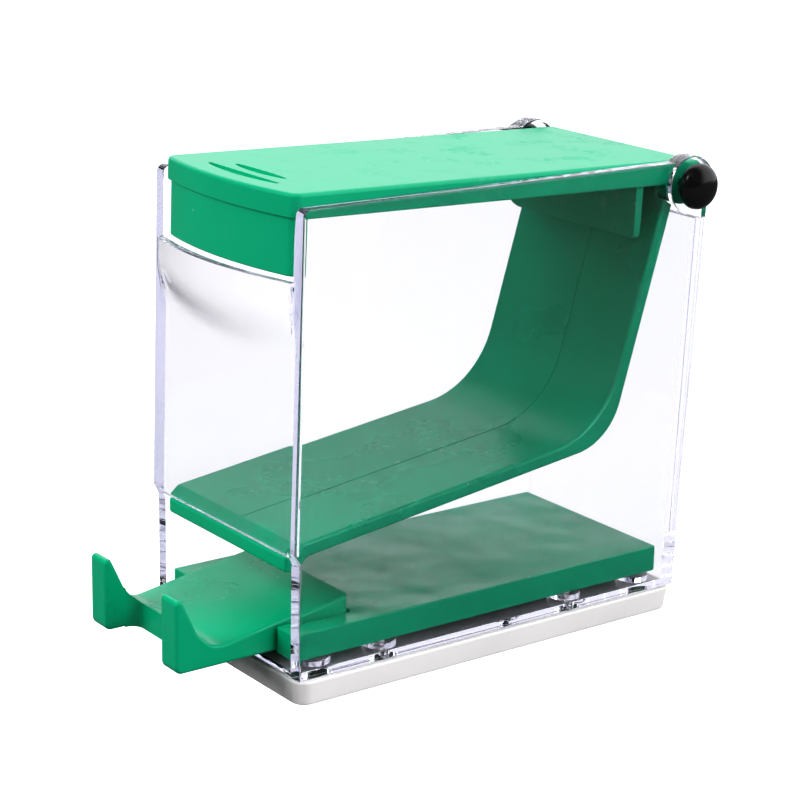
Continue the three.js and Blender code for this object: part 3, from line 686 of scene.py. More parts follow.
def clear_look():
    """Clear styrene: it bends what is behind it, and lets lamp light through."""
    finish = sizes("finish")
    look, nodes, links, shader = new_look("Clear plastic")
    shader.inputs["Base Color"].default_value = finish.clear
    shader.inputs["Transmission Weight"].default_value = 1.0
    shader.inputs["IOR"].default_value = 1.5
    place = nodes.new("ShaderNodeTexCoord").outputs["Object"]
    smear = noise(nodes, links, place, 60, 3, 0.6)
    haze = ramp(nodes, links, smear, 0.55, 0.8)
    links.new(scale_by(nodes, links, haze, 0.03, 0.01), shader.inputs["Roughness"])
    lamp = nodes.new("ShaderNodeBsdfTransparent")
    lamp.inputs["Color"].default_value = (0.5, 0.5, 0.52, 1)
    path = nodes.new("ShaderNodeLightPath")
    mix = nodes.new("ShaderNodeMixShader")
    links.new(path.outputs["Is Shadow Ray"], mix.inputs["Fac"])
    links.new(shader.outputs["BSDF"], mix.inputs[1])
    links.new(lamp.outputs["BSDF"], mix.inputs[2])
    links.new(mix.outputs["Shader"], nodes["Material Output"].inputs["Surface"])
    deep = nodes.new("ShaderNodeVolumeAbsorption")
    deep.inputs["Color"].default_value = finish.depth
    deep.inputs["Density"].default_value = 9.0
    links.new(deep.outputs["Volume"], nodes["Material Output"].inputs["Volume"])
    return look


def white_look():
    finish = sizes("finish")
    look, nodes, links, shader = new_look("White plastic")
    skin(nodes, links, shader, finish.white, 0.42, 0.2, 0.15, 0.3, 0.0003)
    return look


def black_look():
    finish = sizes("finish")
    look, nodes, links, shader = new_look("Black plastic")
    shader.inputs["Coat Weight"].default_value = 0.3
    shader.inputs["Coat Roughness"].default_value = 0.08
    skin(nodes, links, shader, finish.black, 0.24, 0.3, 0.1, 0.25, 0.0002)
    return look


def rubber_look():
    finish = sizes("finish")
    look, nodes, links, shader = new_look("Grey rubber")
    skin(nodes, links, shader, finish.rubber, 0.8, 0.4, 0.5, 0.6, 0.0003)
    return look


def steel_look():
    """Drawn steel wire and rod: fine lines round it, and a little variation in shine."""
    finish = sizes("finish")
    look, nodes, links, shader = new_look("Steel")
    shader.inputs["Metallic"].default_value = 1.0
    shader.inputs["Base Color"].default_value = finish.steel
    place = nodes.new("ShaderNodeTexCoord").outputs["Object"]
    stretch = nodes.new("ShaderNodeMapping")
    stretch.inputs["Scale"].default_value = (40, 900, 900)
    links.new(place, stretch.inputs["Vector"])
    lines = noise(nodes, links, stretch.outputs["Vector"], 2, 3, 0.6)
    links.new(scale_by(nodes, links, lines, 0.25, 0.16), shader.inputs["Roughness"])
    relief = nodes.new("ShaderNodeBump")
    relief.inputs["Strength"].default_value = 0.15
    relief.inputs["Distance"].default_value = 0.0001
    links.new(lines, relief.inputs["Height"])
    links.new(relief.outputs["Normal"], shader.inputs["Normal"])
    return look


def tray_look():
    """The tray's glossier green, with the shallow waves of a large moulded plate."""
    finish = sizes("finish")
    look, nodes, links, shader = new_look("Tray green plastic")
    skin(nodes, links, shader, finish.green, 0.16, 0.05, 0.25, 0.8, 0.003)
    return look


LOOKS = {
    "green": green_look,
    "lid": lid_look,
    "tray": tray_look,
    "clear": clear_look,
    "white": white_look,
    "black": black_look,
    "rubber": rubber_look,
    "steel": steel_look,
}
made_looks = {}


def look_of(name):
    """The named material, made the first time that it is asked for."""
    if "Moulded skin" not in bpy.data.node_groups:
        moulding_group()
    if name not in made_looks:
        made_looks[name] = LOOKS[name]()
    return made_looks[name]


# ---------- the clear housing ----------

def side_wall():
    """The right-hand side wall, with its round boss at the pin."""
    size = sizes("housing")
    top = PIN.z + size.top_above_pin
    rise = degrees(asin(size.top_above_pin / size.lug))
    lug = arc((PIN.y, PIN.z), size.lug, -23, 180 - rise, 28)
    outline = rounded([
        (FRONT, FLOOR),
        (REAR, FLOOR),
        *lug,
        (panel_face(top - FLOOR), top, size.corner),
        (panel_face(size.opening + size.panel_step), FLOOR + size.opening + size.panel_step, 0.5 * MM),
        (FRONT, FLOOR + size.opening - size.panel_step, 0.5 * MM),
    ])
    inner = HALF - size.side_wall
    wall = drawn("side_wall", "YZ", outline, inner, HALF)

    def open_edge(edge):
        """Edges of the outer face, and the inner face's edges above the other walls."""
        xs = [v.co.x for v in edge.verts]
        zs = [v.co.z for v in edge.verts]
        flat = abs(xs[0] - xs[1]) < 1e-6
        outside = xs[0] > HALF - 1e-5
        above = min(zs) > top - size.corner * 1.2 or min(v.co.y for v in edge.verts) > PIN.y
        high = min(zs) > PIN.z - 2 * size.lug
        return flat and (outside or (above and high))

    bevelled(wall, size.rounding, 3, open_edge)
    boss = rod("boss", "X", size.lug - 0.05 * MM, inner + 0.6 * MM, HALF + size.boss,
               PIN.y, PIN.z, 0.3 * MM, 64)
    return join(wall, boss)


def front_panel():
    """The front panel: flat below, and bulged at the top to make room for the lid's skirt."""
    size = sizes("housing")
    half = HALF - size.side_wall + 0.3 * MM
    top = panel_top()
    foot = FLOOR + size.opening
    flat_top = panel_face(top - FLOOR)
    inner_top = panel_inner_y()
    columns, rows = 28, 44
    object_mode()
    bpy.ops.mesh.primitive_grid_add(x_subdivisions=columns, y_subdivisions=rows, size=2,
                                    location=(0, 0, 0), rotation=(pi / 2, 0, 0))
    panel = bpy.context.object
    panel.name = "front_panel"
    bpy.ops.object.transform_apply(location=True, rotation=True, scale=True)
    bpy.ops.object.mode_set(mode="EDIT")
    bpy.ops.mesh.select_all(action="SELECT")
    bpy.ops.mesh.extrude_region_move(TRANSFORM_OT_translate={"value": (0, 1, 0)})
    mesh = bmesh.from_edit_mesh(panel.data)
    for vertex in mesh.verts:
        outer = vertex.co.y < 0.5
        x = vertex.co.x * half
        z = foot + (top - foot) * (vertex.co.z + 1) / 2
        share = (x / half) ** 2
        reach = size.bulge_foot * (1 - share) + size.bulge_foot_side * share
        fade = fading(top - z, size.bulge_upright, reach)
        full = flat_top + size.front_wall - inner_top
        if outer:
            full = flat_top - (inner_top - size.bulge_wall)
        bulge = max(0.0, full - arc_drop(x)) * fade
        flat = panel_face(z - FLOOR) + (0 if outer else size.front_wall)
        vertex.co = (x, flat - bulge, z)
    bmesh.update_edit_mesh(panel.data)
    face_outward(panel)

    def rim(edge):
        zs = [v.co.z for v in edge.verts]
        return sharp(edge) and (max(zs) < foot + 1e-6 or min(zs) > top - 1e-6)

    return bevelled(panel, size.rounding * 0.8, 3, rim)


def housing_shell():
    size = sizes("housing")
    top = PIN.z + size.top_above_pin
    inner = HALF - size.side_wall
    seam = 0.03 * MM
    into = 0.3 * MM
    rear_top = top - size.rear_drop - FLOOR
    rear = drawn("rear_wall", "YZ", [
        (rear_face(0) - size.rear_wall, FLOOR + seam),
        (rear_face(0) - seam, FLOOR + seam),
        (rear_face(rear_top) - seam, FLOOR + rear_top),
        (rear_face(rear_top) - size.rear_wall, FLOOR + rear_top),
    ], -inner - into, inner + into)

    def rear_rim(edge):
        return sharp(edge) and min(v.co.z for v in edge.verts) > FLOOR + rear_top - 1e-6

    bevelled(rear, size.rounding, 3, rear_rim)
    shell = side_wall()
    left = mirrored(shell, "left_wall")
    floor = drawn("floor", "XY", [
        (-inner - into, FRONT + seam), (inner + into, FRONT + seam),
        (inner + into, REAR - size.rear_wall / 2), (-inner - into, REAR - size.rear_wall / 2),
    ], FLOOR + 2 * seam, FLOOR + size.floor)

    def front_rim(edge):
        return sharp(edge) and max(v.co.y for v in edge.verts) < FRONT + 2 * seam

    bevelled(floor, size.rounding * 0.7, 3, front_rim)
    for other in (left, rear, floor, front_panel()):
        join(shell, other)
    for x, y in pad_places():
        pad = rod("pad", "Z", size.pad, FLOOR + size.floor / 2,
                  FLOOR + size.floor + size.pad_height, x, y, 0.3 * MM, 40)
        join(shell, pad)
    reach = HALF + 3 * size.boss
    cut(shell, pin_hole(-reach, reach))
    for node in SCREWS:
        cut(shell, hole_at(node, sizes("trim").screw_hole, FLOOR - MM, FLOOR + 4 * MM))
    shell.name = "clear_shell"
    return smooth(shell)


# ---------- lid ----------

def lid_outline(inset, corner):
    """The lid's plan: an arc across the front, straight sides, and a straight rear."""
    lid = sizes("lid")
    half = lid.half - inset
    nose = FRONT - lid.nose + inset
    steps = 24
    front = []
    for i in range(1, steps):
        x = half * (2 * i / steps - 1)
        front.append((x, nose + arc_drop(x)))
    side = nose + arc_drop(half)
    kept = [point for point in front if abs(point[0]) < half - corner * 0.9]
    return rounded([
        (-half, side, corner),
        *kept,
        (half, side, corner),
        (half, PIN.y + lid.behind_pin),
        (-half, PIN.y + lid.behind_pin),
    ])


def lid_skirt():
    """The deep skirt that hangs from the rim across the front."""
    lid = sizes("lid")
    rim_foot = PIN.z + lid.top - lid.rim
    foot = PIN.z + lid.top - lid.skirt
    skirt = drawn("skirt", "XY", lid_outline(lid.skirt_set_back, lid.corner),
                  foot, rim_foot + 0.5 * MM)

    def lower_rim(edge):
        return sharp(edge) and max(v.co.z for v in edge.verts) < foot + 1e-6

    bevelled(skirt, 0.4 * MM, 3, lower_rim)
    inner = drawn("inside", "XY", lid_outline(lid.skirt_set_back + lid.rim_wall, lid.corner * 0.6),
                  foot - MM, rim_foot + MM)
    cut(skirt, inner)
    end = FRONT - lid.nose + arc_drop(lid.half) + lid.skirt_return
    rest = drawn("rest", "XY", [(-30 * MM, end), (30 * MM, end), (30 * MM, 70 * MM), (-30 * MM, 70 * MM)],
                 foot - 2 * MM, rim_foot + 2 * MM)
    return cut(skirt, rest)


def finger_groove(distance, half_length):
    """A cutter for one groove: an arc band with round ends."""
    lid = sizes("lid")
    nose = FRONT - lid.nose + distance
    steps = 20
    rows = {side: [] for side in (-1, 1)}
    for i in range(steps + 1):
        share = 2 * i / steps - 1
        x = half_length * share
        half = lid.groove_end / 2 + (lid.groove - lid.groove_end) / 2 * (1 - share * share)
        for side in (-1, 1):
            rows[side].append((x, nose + arc_drop(x) + side * half))
    end = (half_length, nose + arc_drop(half_length))
    right = arc(end, lid.groove_end / 2, -90, 90, 8)[1:-1]
    left = arc((-end[0], end[1]), lid.groove_end / 2, 90, 270, 8)[1:-1]
    outline = rows[-1] + right + rows[1][::-1] + left
    top = PIN.z + lid.top
    groove = drawn("groove", "XY", outline, top - lid.groove_depth, top + MM)

    def bottom(edge):
        return sharp(edge) and max(v.co.z for v in edge.verts) < top - lid.groove_depth + 1e-6

    return bevelled(groove, 0.25 * MM, 3, bottom)


def lid_shell():
    lid = sizes("lid")
    top = PIN.z + lid.top
    rim_foot = top - lid.rim
    shell = drawn("lid_shell", "XY", lid_outline(0, lid.corner), rim_foot, top)

    def upper_rim(edge):
        return sharp(edge) and min(v.co.z for v in edge.verts) > top - 1e-6

    def lower_rim(edge):
        return sharp(edge) and max(v.co.z for v in edge.verts) < rim_foot + 1e-6

    bevelled(shell, lid.rounding, 5, upper_rim)
    bevelled(shell, 0.3 * MM, 2, lower_rim)
    inner = drawn("inside", "XY", lid_outline(lid.rim_wall, lid.corner * 0.6),
                  rim_foot - MM, top - lid.plate)
    cut(shell, inner)
    bed = sizes("bed")
    open_rear = drawn("open_rear", "XY", [
        (-lid.half + lid.rim_wall, PIN.y - bed.knuckle), (lid.half - lid.rim_wall, PIN.y - bed.knuckle),
        (lid.half - lid.rim_wall, PIN.y + 8 * MM), (-lid.half + lid.rim_wall, PIN.y + 8 * MM),
    ], rim_foot - MM, top - lid.plate)
    cut(shell, open_rear)
    join(shell, lid_skirt())
    for side in (-1, 1):
        ear = rod("ear", "X", lid.top - 0.02 * MM, lid.half - lid.ear, lid.half - 0.02 * MM,
                  PIN.y, PIN.z, 0.3 * MM)
        join(shell, ear if side > 0 else turned_over(ear))
    join(shell, lid_rib())
    cut(shell, pin_hole(-HALF, HALF))
    cut(shell, finger_groove(5.4 * MM, 11.6 * MM))
    cut(shell, finger_groove(9.8 * MM, 8.1 * MM))
    edit(shell)
    bpy.ops.mesh.select_all(action="SELECT")
    bpy.ops.transform.rotate(value=lid.tilt, orient_axis="X", center_override=PIN)
    object_mode()
    return smooth(shell)


def lid_rib():
    """The cross rib that stops at the bed's back wall, with two nibs that push it."""
    lid = sizes("lid")
    bed = sizes("bed")
    half = lid.half - lid.rim_wall + 0.5 * MM
    top = PIN.z + lid.top - lid.plate + 0.5 * MM
    foot = PIN.z - lid.rib_reach
    middle = PIN.y - lid.rib_from_pin
    rib = drawn("rib", "XZ", rounded([
        (-half, top), (-half, foot, lid.rib_round), (half, foot, MM), (half, top),
    ], 12), middle - lid.rib / 2, middle + lid.rib / 2)

    def foot_rim(edge):
        return sharp(edge) and max(v.co.z for v in edge.verts) < top - 1e-6

    bevelled(rib, 0.35 * MM, 3, foot_rim)
    nib_z = foot + 2 * MM
    lean = bed.lean + lid.tilt
    wall = PIN.y + (-bed.knuckle + (nib_z - PIN.z) * sin(lean)) / cos(lean) - 0.4 * MM
    for x in (-8 * MM, 8 * MM):
        nib = drawn("nib", "XZ", rounded([
            (x - 1.5 * MM, nib_z - 0.8 * MM, 0.4 * MM), (x + 1.5 * MM, nib_z - 0.8 * MM, 0.4 * MM),
            (x + 1.5 * MM, nib_z + 0.8 * MM, 0.4 * MM), (x - 1.5 * MM, nib_z + 0.8 * MM, 0.4 * MM),
        ], 3), middle, wall)
        join(rib, nib)
    return rib


# ---------- roll bed ----------

def bed_floor_front(offset):
    size = sizes("housing")
    bed = sizes("bed")
    y = panel_face(size.opening) + size.front_wall + bed.floor_start
    return y, FLOOR + size.opening + bed.floor_lift - offset / cos(bed.slope)


def bed_corner(offset):
    """Where the bed's wall line and floor line meet, for a face offset from the inner one."""
    bed = sizes("bed")
    front_y, front_z = bed_floor_front(offset)
    reach = bed.knuckle - offset
    constant = PIN.y - reach / cos(bed.lean) - PIN.z * tan(bed.lean)
    z = (front_z + tan(bed.slope) * (constant - front_y)) / (1 - tan(bed.slope) * tan(bed.lean))
    return constant + z * tan(bed.lean), z


def bed_shell():
    bed = sizes("bed")
    lid = sizes("lid")
    trim = sizes("trim")
    size = sizes("housing")
    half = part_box("roll_bed")[1].x
    outward = Vector((-cos(bed.lean), sin(bed.lean)))
    pin = Vector((PIN.y, PIN.z))
    top_inner = pin + outward * (bed.knuckle - 0.05 * MM)
    top_outer = pin + outward * (bed.knuckle - bed.thickness)
    lip_top = FLOOR + size.opening - bed.lip_top
    lip_front = panel_face(size.opening) + bed.lip_set_back
    under_y, under_z = bed_floor_front(bed.thickness)
    outline = rounded([
        tuple(top_outer),
        tuple(top_inner),
        (*bed_corner(0), bed.inner_round),
        (*bed_floor_front(0), MM),
        (lip_front, lip_top, 0.8 * MM),
        (lip_front, lip_top - bed.lip, 0.8 * MM),
        (lip_front + bed.lip_length, lip_top - bed.lip, 0.75 * MM),
        (under_y + 1.2 * MM, under_z, MM),
        (*bed_corner(bed.thickness), bed.outer_round),
    ], 14)
    shell = drawn("bed_shell", "YZ", outline, -half, half)

    def side_rim(edge):
        return sharp(edge) and min(abs(v.co.x) for v in edge.verts) > half - 1e-6

    bevelled(shell, bed.rounding, 3, side_rim)
    knuckle_half = lid.half - lid.ear - trim.gap
    join(shell, rod("knuckle", "X", bed.knuckle, -knuckle_half, knuckle_half, PIN.y, PIN.z, 0.3 * MM))
    ear_room = rod("ear_room", "X", lid.top + trim.gap, knuckle_half, half + MM, PIN.y, PIN.z)
    other = mirrored(ear_room, "ear_room_left")
    cut(shell, ear_room)
    cut(shell, other)
    for side in (-1, 1):
        centre = side * trim.spring_place
        reach = trim.coil_width / 2 + trim.wire + trim.gap
        cut(shell, rod("spring_room", "X", bed.knuckle + 2 * trim.gap, centre - reach,
                       centre + reach, PIN.y, PIN.z))
    cut(shell, pin_hole(-half - MM, half + MM))
    # The faint line that the mould leaves down the bed's inner face.
    proud, deep = -0.3 * MM, 0.12 * MM
    line = [(*(pin + outward * (bed.knuckle - deep)),), (*bed_corner(deep), bed.inner_round + deep),
            bed_floor_front(deep), bed_floor_front(proud),
            (*bed_corner(proud), bed.inner_round + proud), (*(pin + outward * (bed.knuckle - proud)),)]
    cut(shell, drawn("mould_line", "YZ", rounded(line, 14), 2.6 * MM, 2.9 * MM))
    # The moulding gate's nub, in the middle of the lip.
    nub = rod("nub", "Z", 0.75 * MM, lip_top - 0.9 * MM, lip_top + 0.12 * MM, 1.2 * MM,
              lip_front + 0.7 * MM, 0.3 * MM, 20)
    join(shell, nub)
    return smooth(shell)


# ---------- fork and tray ----------

def fork_shell():
    fork = sizes("fork")
    trim = sizes("trim")
    bottom, front = FORK_LOW.z, FORK_LOW.y
    half = FORK_HIGH.x
    rear = FRONT + fork.tail
    cradle = bottom + fork.cradle
    cradle_y = front + fork.cradle_reach
    ramp_top = cradle + fork.ramp
    profile = rounded([
        (front, bottom, 1.5 * MM),
        (rear, bottom),
        (rear, ramp_top),
        (cradle_y, cradle, 5 * MM),
        (front + fork.heel_reach, cradle + fork.heel_rise, 4 * MM),
        (front, bottom + fork.apex, fork.tip),
    ], 12)
    throat = half - fork.prong
    shell = drawn("fork_shell", "YZ", profile, throat, half)

    def side_rim(edge):
        xs = [v.co.x for v in edge.verts]
        return sharp(edge) and abs(xs[0] - xs[1]) < 1e-6

    bevelled(shell, fork.rounding, 4, side_rim)
    other = mirrored(shell, "left_prong")
    # The middle fills in between the prongs, behind the rounded throat.
    middle = drawn("middle", "YZ", profile, -throat - fork.rounding, throat + fork.rounding)
    throat_rear = cradle_y - fork.web
    wide = throat + 2 * fork.rounding
    cut(middle, drawn("throat", "XY", rounded([
        (-wide, front - MM), (wide, front - MM),
        (wide, throat_rear - fork.throat), (throat, throat_rear - fork.throat),
        (throat, throat_rear, fork.throat), (-throat, throat_rear, fork.throat),
        (-throat, throat_rear - fork.throat), (-wide, throat_rear - fork.throat),
    ], 10), bottom - MM, bottom + fork.apex + MM))
    join(shell, other)
    join(shell, middle)
    slope = fork.ramp / (rear - cradle_y)
    inner = half - fork.wall
    hollow = drawn("hollow", "YZ", [
        (cradle_y + fork.wall, bottom - MM),
        (rear - fork.wall, bottom - MM),
        (rear - fork.wall, ramp_top - fork.wall - slope * fork.wall),
        (cradle_y + fork.wall, cradle - fork.wall + slope * fork.wall),
    ], -inner, inner)
    cut(shell, hollow)
    tongue_half = half - trim.tongue_inset
    tongue = drawn("tongue", "XY", rounded([
        (-tongue_half, rear - fork.wall), (tongue_half, rear - fork.wall),
        (tongue_half, FORK_HIGH.y, MM), (-tongue_half, FORK_HIGH.y, MM),
    ], 4), bottom + 0.01 * MM, bottom + trim.tongue)
    join(shell, tongue)
    return smooth(shell)


def tray_shell():
    trim = sizes("trim")
    fork = sizes("fork")
    low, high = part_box("base_tray")
    notch = FORK_HIGH.x + trim.gap
    notch_rear = FRONT + fork.tail + trim.gap
    shell = drawn("tray_shell", "XY", rounded([
        (-high.x, low.y, 0.5 * MM), (-notch, low.y, 0.3 * MM),
        (-notch, notch_rear, 0.4 * MM), (notch, notch_rear, 0.4 * MM),
        (notch, low.y, 0.3 * MM), (high.x, low.y, 0.5 * MM),
        (high.x, high.y, 0.6 * MM), (-high.x, high.y, 0.6 * MM),
    ], 4), low.z, high.z)

    def rims(edge):
        zs = [v.co.z for v in edge.verts]
        return sharp(edge) and abs(zs[0] - zs[1]) < 1e-6

    bevelled(shell, 0.3 * MM, 3, rims)
    wall = trim.tray_wall
    roof = high.z - trim.tray_plate
    hollow = drawn("hollow", "XY", rounded([
        (-high.x + wall, notch_rear + wall, MM), (high.x - wall, notch_rear + wall, MM),
        (high.x - wall, high.y - wall, MM), (-high.x + wall, high.y - wall, MM),
    ], 4), low.z - MM, roof)
    for node in SCREWS:
        cut(hollow, hole_at(node, trim.screw_boss, low.z - 2 * MM, roof + MM, 48))
    cut(shell, hollow)
    mouth = FORK_HIGH.x - trim.tongue_inset + 2 * trim.gap
    cut(shell, drawn("mouth", "XY", [
        (-mouth, notch_rear - MM), (mouth, notch_rear - MM),
        (mouth, notch_rear + wall + MM), (-mouth, notch_rear + wall + MM),
    ], low.z - MM, FORK_LOW.z + trim.tongue + trim.gap))
    for node in SCREWS:
        cut(shell, hole_at(node, trim.screw_hole, low.z - MM, SCREW_HIGH.z + trim.gap))
    return smooth(shell)


# ---------- base, feet and screws ----------

def base_shell():
    trim = sizes("trim")
    low, high = BASE_LOW, BASE_HIGH

    def plan(inset):
        return rounded([
            (-high.x + inset, low.y + inset, trim.base_corner),
            (high.x - inset, low.y + inset, trim.base_corner),
            (high.x - inset, high.y - inset, trim.base_corner),
            (-high.x + inset, high.y - inset, trim.base_corner),
        ], 10)

    shell = drawn("base_shell", "XY", plan(0), low.z, high.z)
    edit(shell)
    pick(shell, "FACE", lambda face: face.normal.z < -0.9)
    across = 2 * high.x
    along = high.y - low.y
    shrink = (1 - 2 * trim.base_draft / across, 1 - 2 * trim.base_draft / along, 1)
    centre = (0, (low.y + high.y) / 2, low.z)
    bpy.ops.transform.resize(value=shrink, center_override=centre)
    object_mode()

    def rims(edge):
        return sharp(edge) and abs(edge.verts[0].co.z - edge.verts[1].co.z) < 1e-6

    bevelled(shell, 0.45 * MM, 4, rims)
    foot_radius = (FOOT_HIGH.x - FOOT_LOW.x) / 2
    for node in FEET:
        cut(shell, hole_at(node, foot_radius + trim.gap, low.z - MM, FOOT_HIGH.z + trim.gap, 48))
    head = (SCREW_HIGH.x - SCREW_LOW.x) / 2
    for node in SCREWS:
        cut(shell, hole_at(node, head + trim.gap, low.z - MM, low.z + 2 * MM, 32))
        cut(shell, hole_at(node, trim.screw_hole, low.z - MM, high.z + MM))
    return smooth(shell)


def foot_disc():
    """One rubber foot: a disc with a rounded sole and a moulded ring."""
    middle = (FOOT_LOW + FOOT_HIGH) / 2
    radius = (FOOT_HIGH.x - FOOT_LOW.x) / 2
    height = FOOT_HIGH.z - FOOT_LOW.z
    sole = arc((radius - 0.5 * MM, 0.5 * MM), 0.5 * MM, -90, 0, 5)
    profile = [
        (0, 0.12 * MM), (radius * 0.45, 0.12 * MM), (radius * 0.5, 0), (radius * 0.8, 0),
        *sole, (radius, height - 0.2 * MM), (radius - 0.2 * MM, height), (0, height),
    ]
    disc = turned("foot", "Z", Vector((middle.x, middle.y, FOOT_LOW.z)), profile, 40)
    return smooth(disc)


def base_screw():
    """One self-tapping screw: pan head with a cross recess, and a threaded shank."""
    middle = (SCREW_LOW + SCREW_HIGH) / 2
    radius = (SCREW_HIGH.x - SCREW_LOW.x) / 2
    head = 1.4 * MM
    core, crest, pitch = 0.8 * MM, 1.1 * MM, 0.9 * MM
    tall = SCREW_HIGH.z - SCREW_LOW.z
    dome = [(radius * sin(radians(a)), head * 0.55 * (1 - cos(radians(a)))) for a in (0, 25, 50, 70)]
    profile = dome + [(radius, head * 0.75), (radius, head), (core, head)]
    thread = head + pitch
    while thread < tall - 1.6 * pitch:
        profile += [(core, thread), (crest, thread + pitch * 0.35), (core, thread + pitch * 0.7)]
        thread += pitch
    profile += [(core, tall - 0.8 * MM), (0, tall)]
    screw = turned("screw", "Z", Vector((middle.x, middle.y, SCREW_LOW.z)), profile, 24)
    for wide, narrow in ((1.5, 0.3), (0.3, 1.5)):
        recess = drawn("recess", "XY", [
            (middle.x - wide * MM, middle.y - narrow * MM), (middle.x + wide * MM, middle.y - narrow * MM),
            (middle.x + wide * MM, middle.y + narrow * MM), (middle.x - wide * MM, middle.y + narrow * MM),
        ], SCREW_LOW.z - MM, SCREW_LOW.z + 0.7 * MM)
        cut(screw, recess)
    return smooth(screw)


# ---------- pin, caps and springs ----------

def pin_rod():
    return smooth(rod("pin_rod", "X", PIN_RADIUS, PIN_LOW.x, PIN_HIGH.x, PIN.y, PIN.z, 0.3 * MM, 40))


def pin_cap():
    """The right-hand cap: a glossy dome with a blind socket."""
    trim = sizes("trim")
    low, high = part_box("pin_cap_right")
    radius = high.z - PIN.z
    tall = high.x - low.x
    skirt = tall - trim.cap_dome
    profile = [(0, 0), (radius * 0.86, 0), (radius * 0.93, 0.2 * MM), (radius * 0.985, skirt * 0.55)]
    profile += [(radius, skirt * 0.75), (radius, skirt)]
    steps = 16
    for i in range(1, steps + 1):
        turn = pi / 2 * i / steps
        profile.append((radius * cos(turn) ** 0.85 if i < steps else 0, skirt + trim.cap_dome * sin(turn)))
    cap = turned("cap", "X", Vector((low.x, PIN.y, PIN.z)), profile, 64)
    cut(cap, pin_hole(low.x - MM, PIN_HIGH.x + trim.gap))
    return smooth(cap, 40)


def spring_wire(side, name):
    """A torsion spring round the pin, one leg behind the bed and one on the rear wall."""
    trim = sizes("trim")
    bed = sizes("bed")
    size = sizes("housing")
    radius = PIN_RADIUS + trim.gap + trim.wire
    down = Vector((-sin(bed.lean), -cos(bed.lean)))
    behind = Vector((cos(bed.lean), -sin(bed.lean)))
    pin = Vector((PIN.y, PIN.z))
    bed_end = pin + down * trim.spring_leg
    bed_end += behind * (bed.thickness - bed.knuckle + trim.gap + trim.wire)
    rear_z = PIN.z - trim.spring_leg
    rear_y = rear_face(rear_z - FLOOR) - size.rear_wall - trim.gap - trim.wire
    middle = side * trim.spring_place
    half = trim.coil_width / 2
    turns = 4 - bed.lean / (2 * pi)
    count = 120
    points = [Vector((middle - half, rear_y, rear_z))]
    for i in range(count + 1):
        turn = turns * 2 * pi * i / count
        x = middle + trim.coil_width * (i / count - 0.5)
        points.append(Vector((x, PIN.y + radius * cos(turn), PIN.z + radius * sin(turn))))
    points.append(Vector((middle + half, bed_end.x, bed_end.y)))
    object_mode()
    bpy.ops.curve.primitive_nurbs_path_add(location=(0, 0, 0))
    spring = bpy.context.object
    spring.name = name
    curve = spring.data
    curve.splines.clear()
    line = curve.splines.new("POLY")
    line.points.add(len(points) - 1)
    for target, point in zip(line.points, points):
        target.co = (*point, 1)
    curve.bevel_depth = trim.wire
    curve.bevel_resolution = 2
    curve.use_fill_caps = True
    bpy.ops.object.convert(target="MESH")
    piece = bpy.context.object
    face_outward(piece)
    return smooth(piece, 50)


# ---------- operators ----------

class DISPENSER_OT_housing(bpy.types.Operator):
    """Models the clear box"""
    bl_idname = "dispenser.housing"
    bl_label = "Clear box"

    def execute(self, context):
        finished(housing_shell(), look_of("clear"), "clear_plastic", "housing", "clear_housing")
        return {"FINISHED"}


class DISPENSER_OT_lid(bpy.types.Operator):
    """Models the lid with its skirt, ears, rib and finger grooves"""
    bl_idname = "dispenser.lid"
    bl_label = "Lid"

    def execute(self, context):
        finished(lid_shell(), look_of("lid"), "green_plastic", "lid", "lid")
        return {"FINISHED"}


class DISPENSER_OT_bed(bpy.types.Operator):
    """Models the swinging roll bed"""
    bl_idname = "dispenser.bed"
    bl_label = "Roll bed"

    def execute(self, context):
        finished(bed_shell(), look_of("green"), "green_plastic", "bed", "roll_bed")
        return {"FINISHED"}


class DISPENSER_OT_fork(bpy.types.Operator):
    """Models the fork that the freed roll lands on"""
    bl_idname = "dispenser.fork"
    bl_label = "Fork"

    def execute(self, context):
        finished(fork_shell(), look_of("green"), "green_plastic", "housing", "dispensing_fork")
        return {"FINISHED"}


class DISPENSER_OT_tray(bpy.types.Operator):
    """Models the tray inside the box"""
    bl_idname = "dispenser.tray"
    bl_label = "Tray"

    def execute(self, context):
        finished(tray_shell(), look_of("tray"), "green_plastic", "housing", "base_tray")
        return {"FINISHED"}


class DISPENSER_OT_base(bpy.types.Operator):
    """Models the white base, its feet and its screws"""
    bl_idname = "dispenser.base"
    bl_label = "Base"

    def execute(self, context):
        finished(base_shell(), look_of("white"), "white_plastic", "housing", "base_plate")
        foot = foot_disc()
        screw = base_screw()
        for number in (1, 2, 3, 4):
            for pattern, kind, node, look, slot in (
                (foot, "foot_disc", f"foot_{number}", "rubber", "grey_rubber"),
                (screw, "screw", f"base_screw_{number}", "steel", "steel"),
            ):
                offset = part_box(node)[0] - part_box(node[:-1] + "4")[0]
                piece = copy_of(pattern, f"{kind}_{number}", offset)
                finished(piece, look_of(look), slot, "housing", node)
        for pattern in (foot, screw):
            bpy.data.objects.remove(pattern)
        return {"FINISHED"}


class DISPENSER_OT_hinge(bpy.types.Operator):
    """Models the hinge pin, its two caps and the two return springs"""
    bl_idname = "dispenser.hinge"
    bl_label = "Pin, caps and springs"

    def execute(self, context):
        finished(pin_rod(), look_of("steel"), "steel", "housing", "hinge_pin")
        cap = pin_cap()
        left = mirrored(cap, "cap_left")
        cap.name = "cap_right"
        finished(cap, look_of("black"), "black_plastic", "housing", "pin_cap_right")
        finished(smooth(left, 40), look_of("black"), "black_plastic", "housing", "pin_cap_left")
        for side, word in ((-1, "left"), (1, "right")):
            spring = spring_wire(side, f"spring_{word}")
            finished(spring, look_of("steel"), "steel", "housing", f"return_spring_{word}")
        return {"FINISHED"}


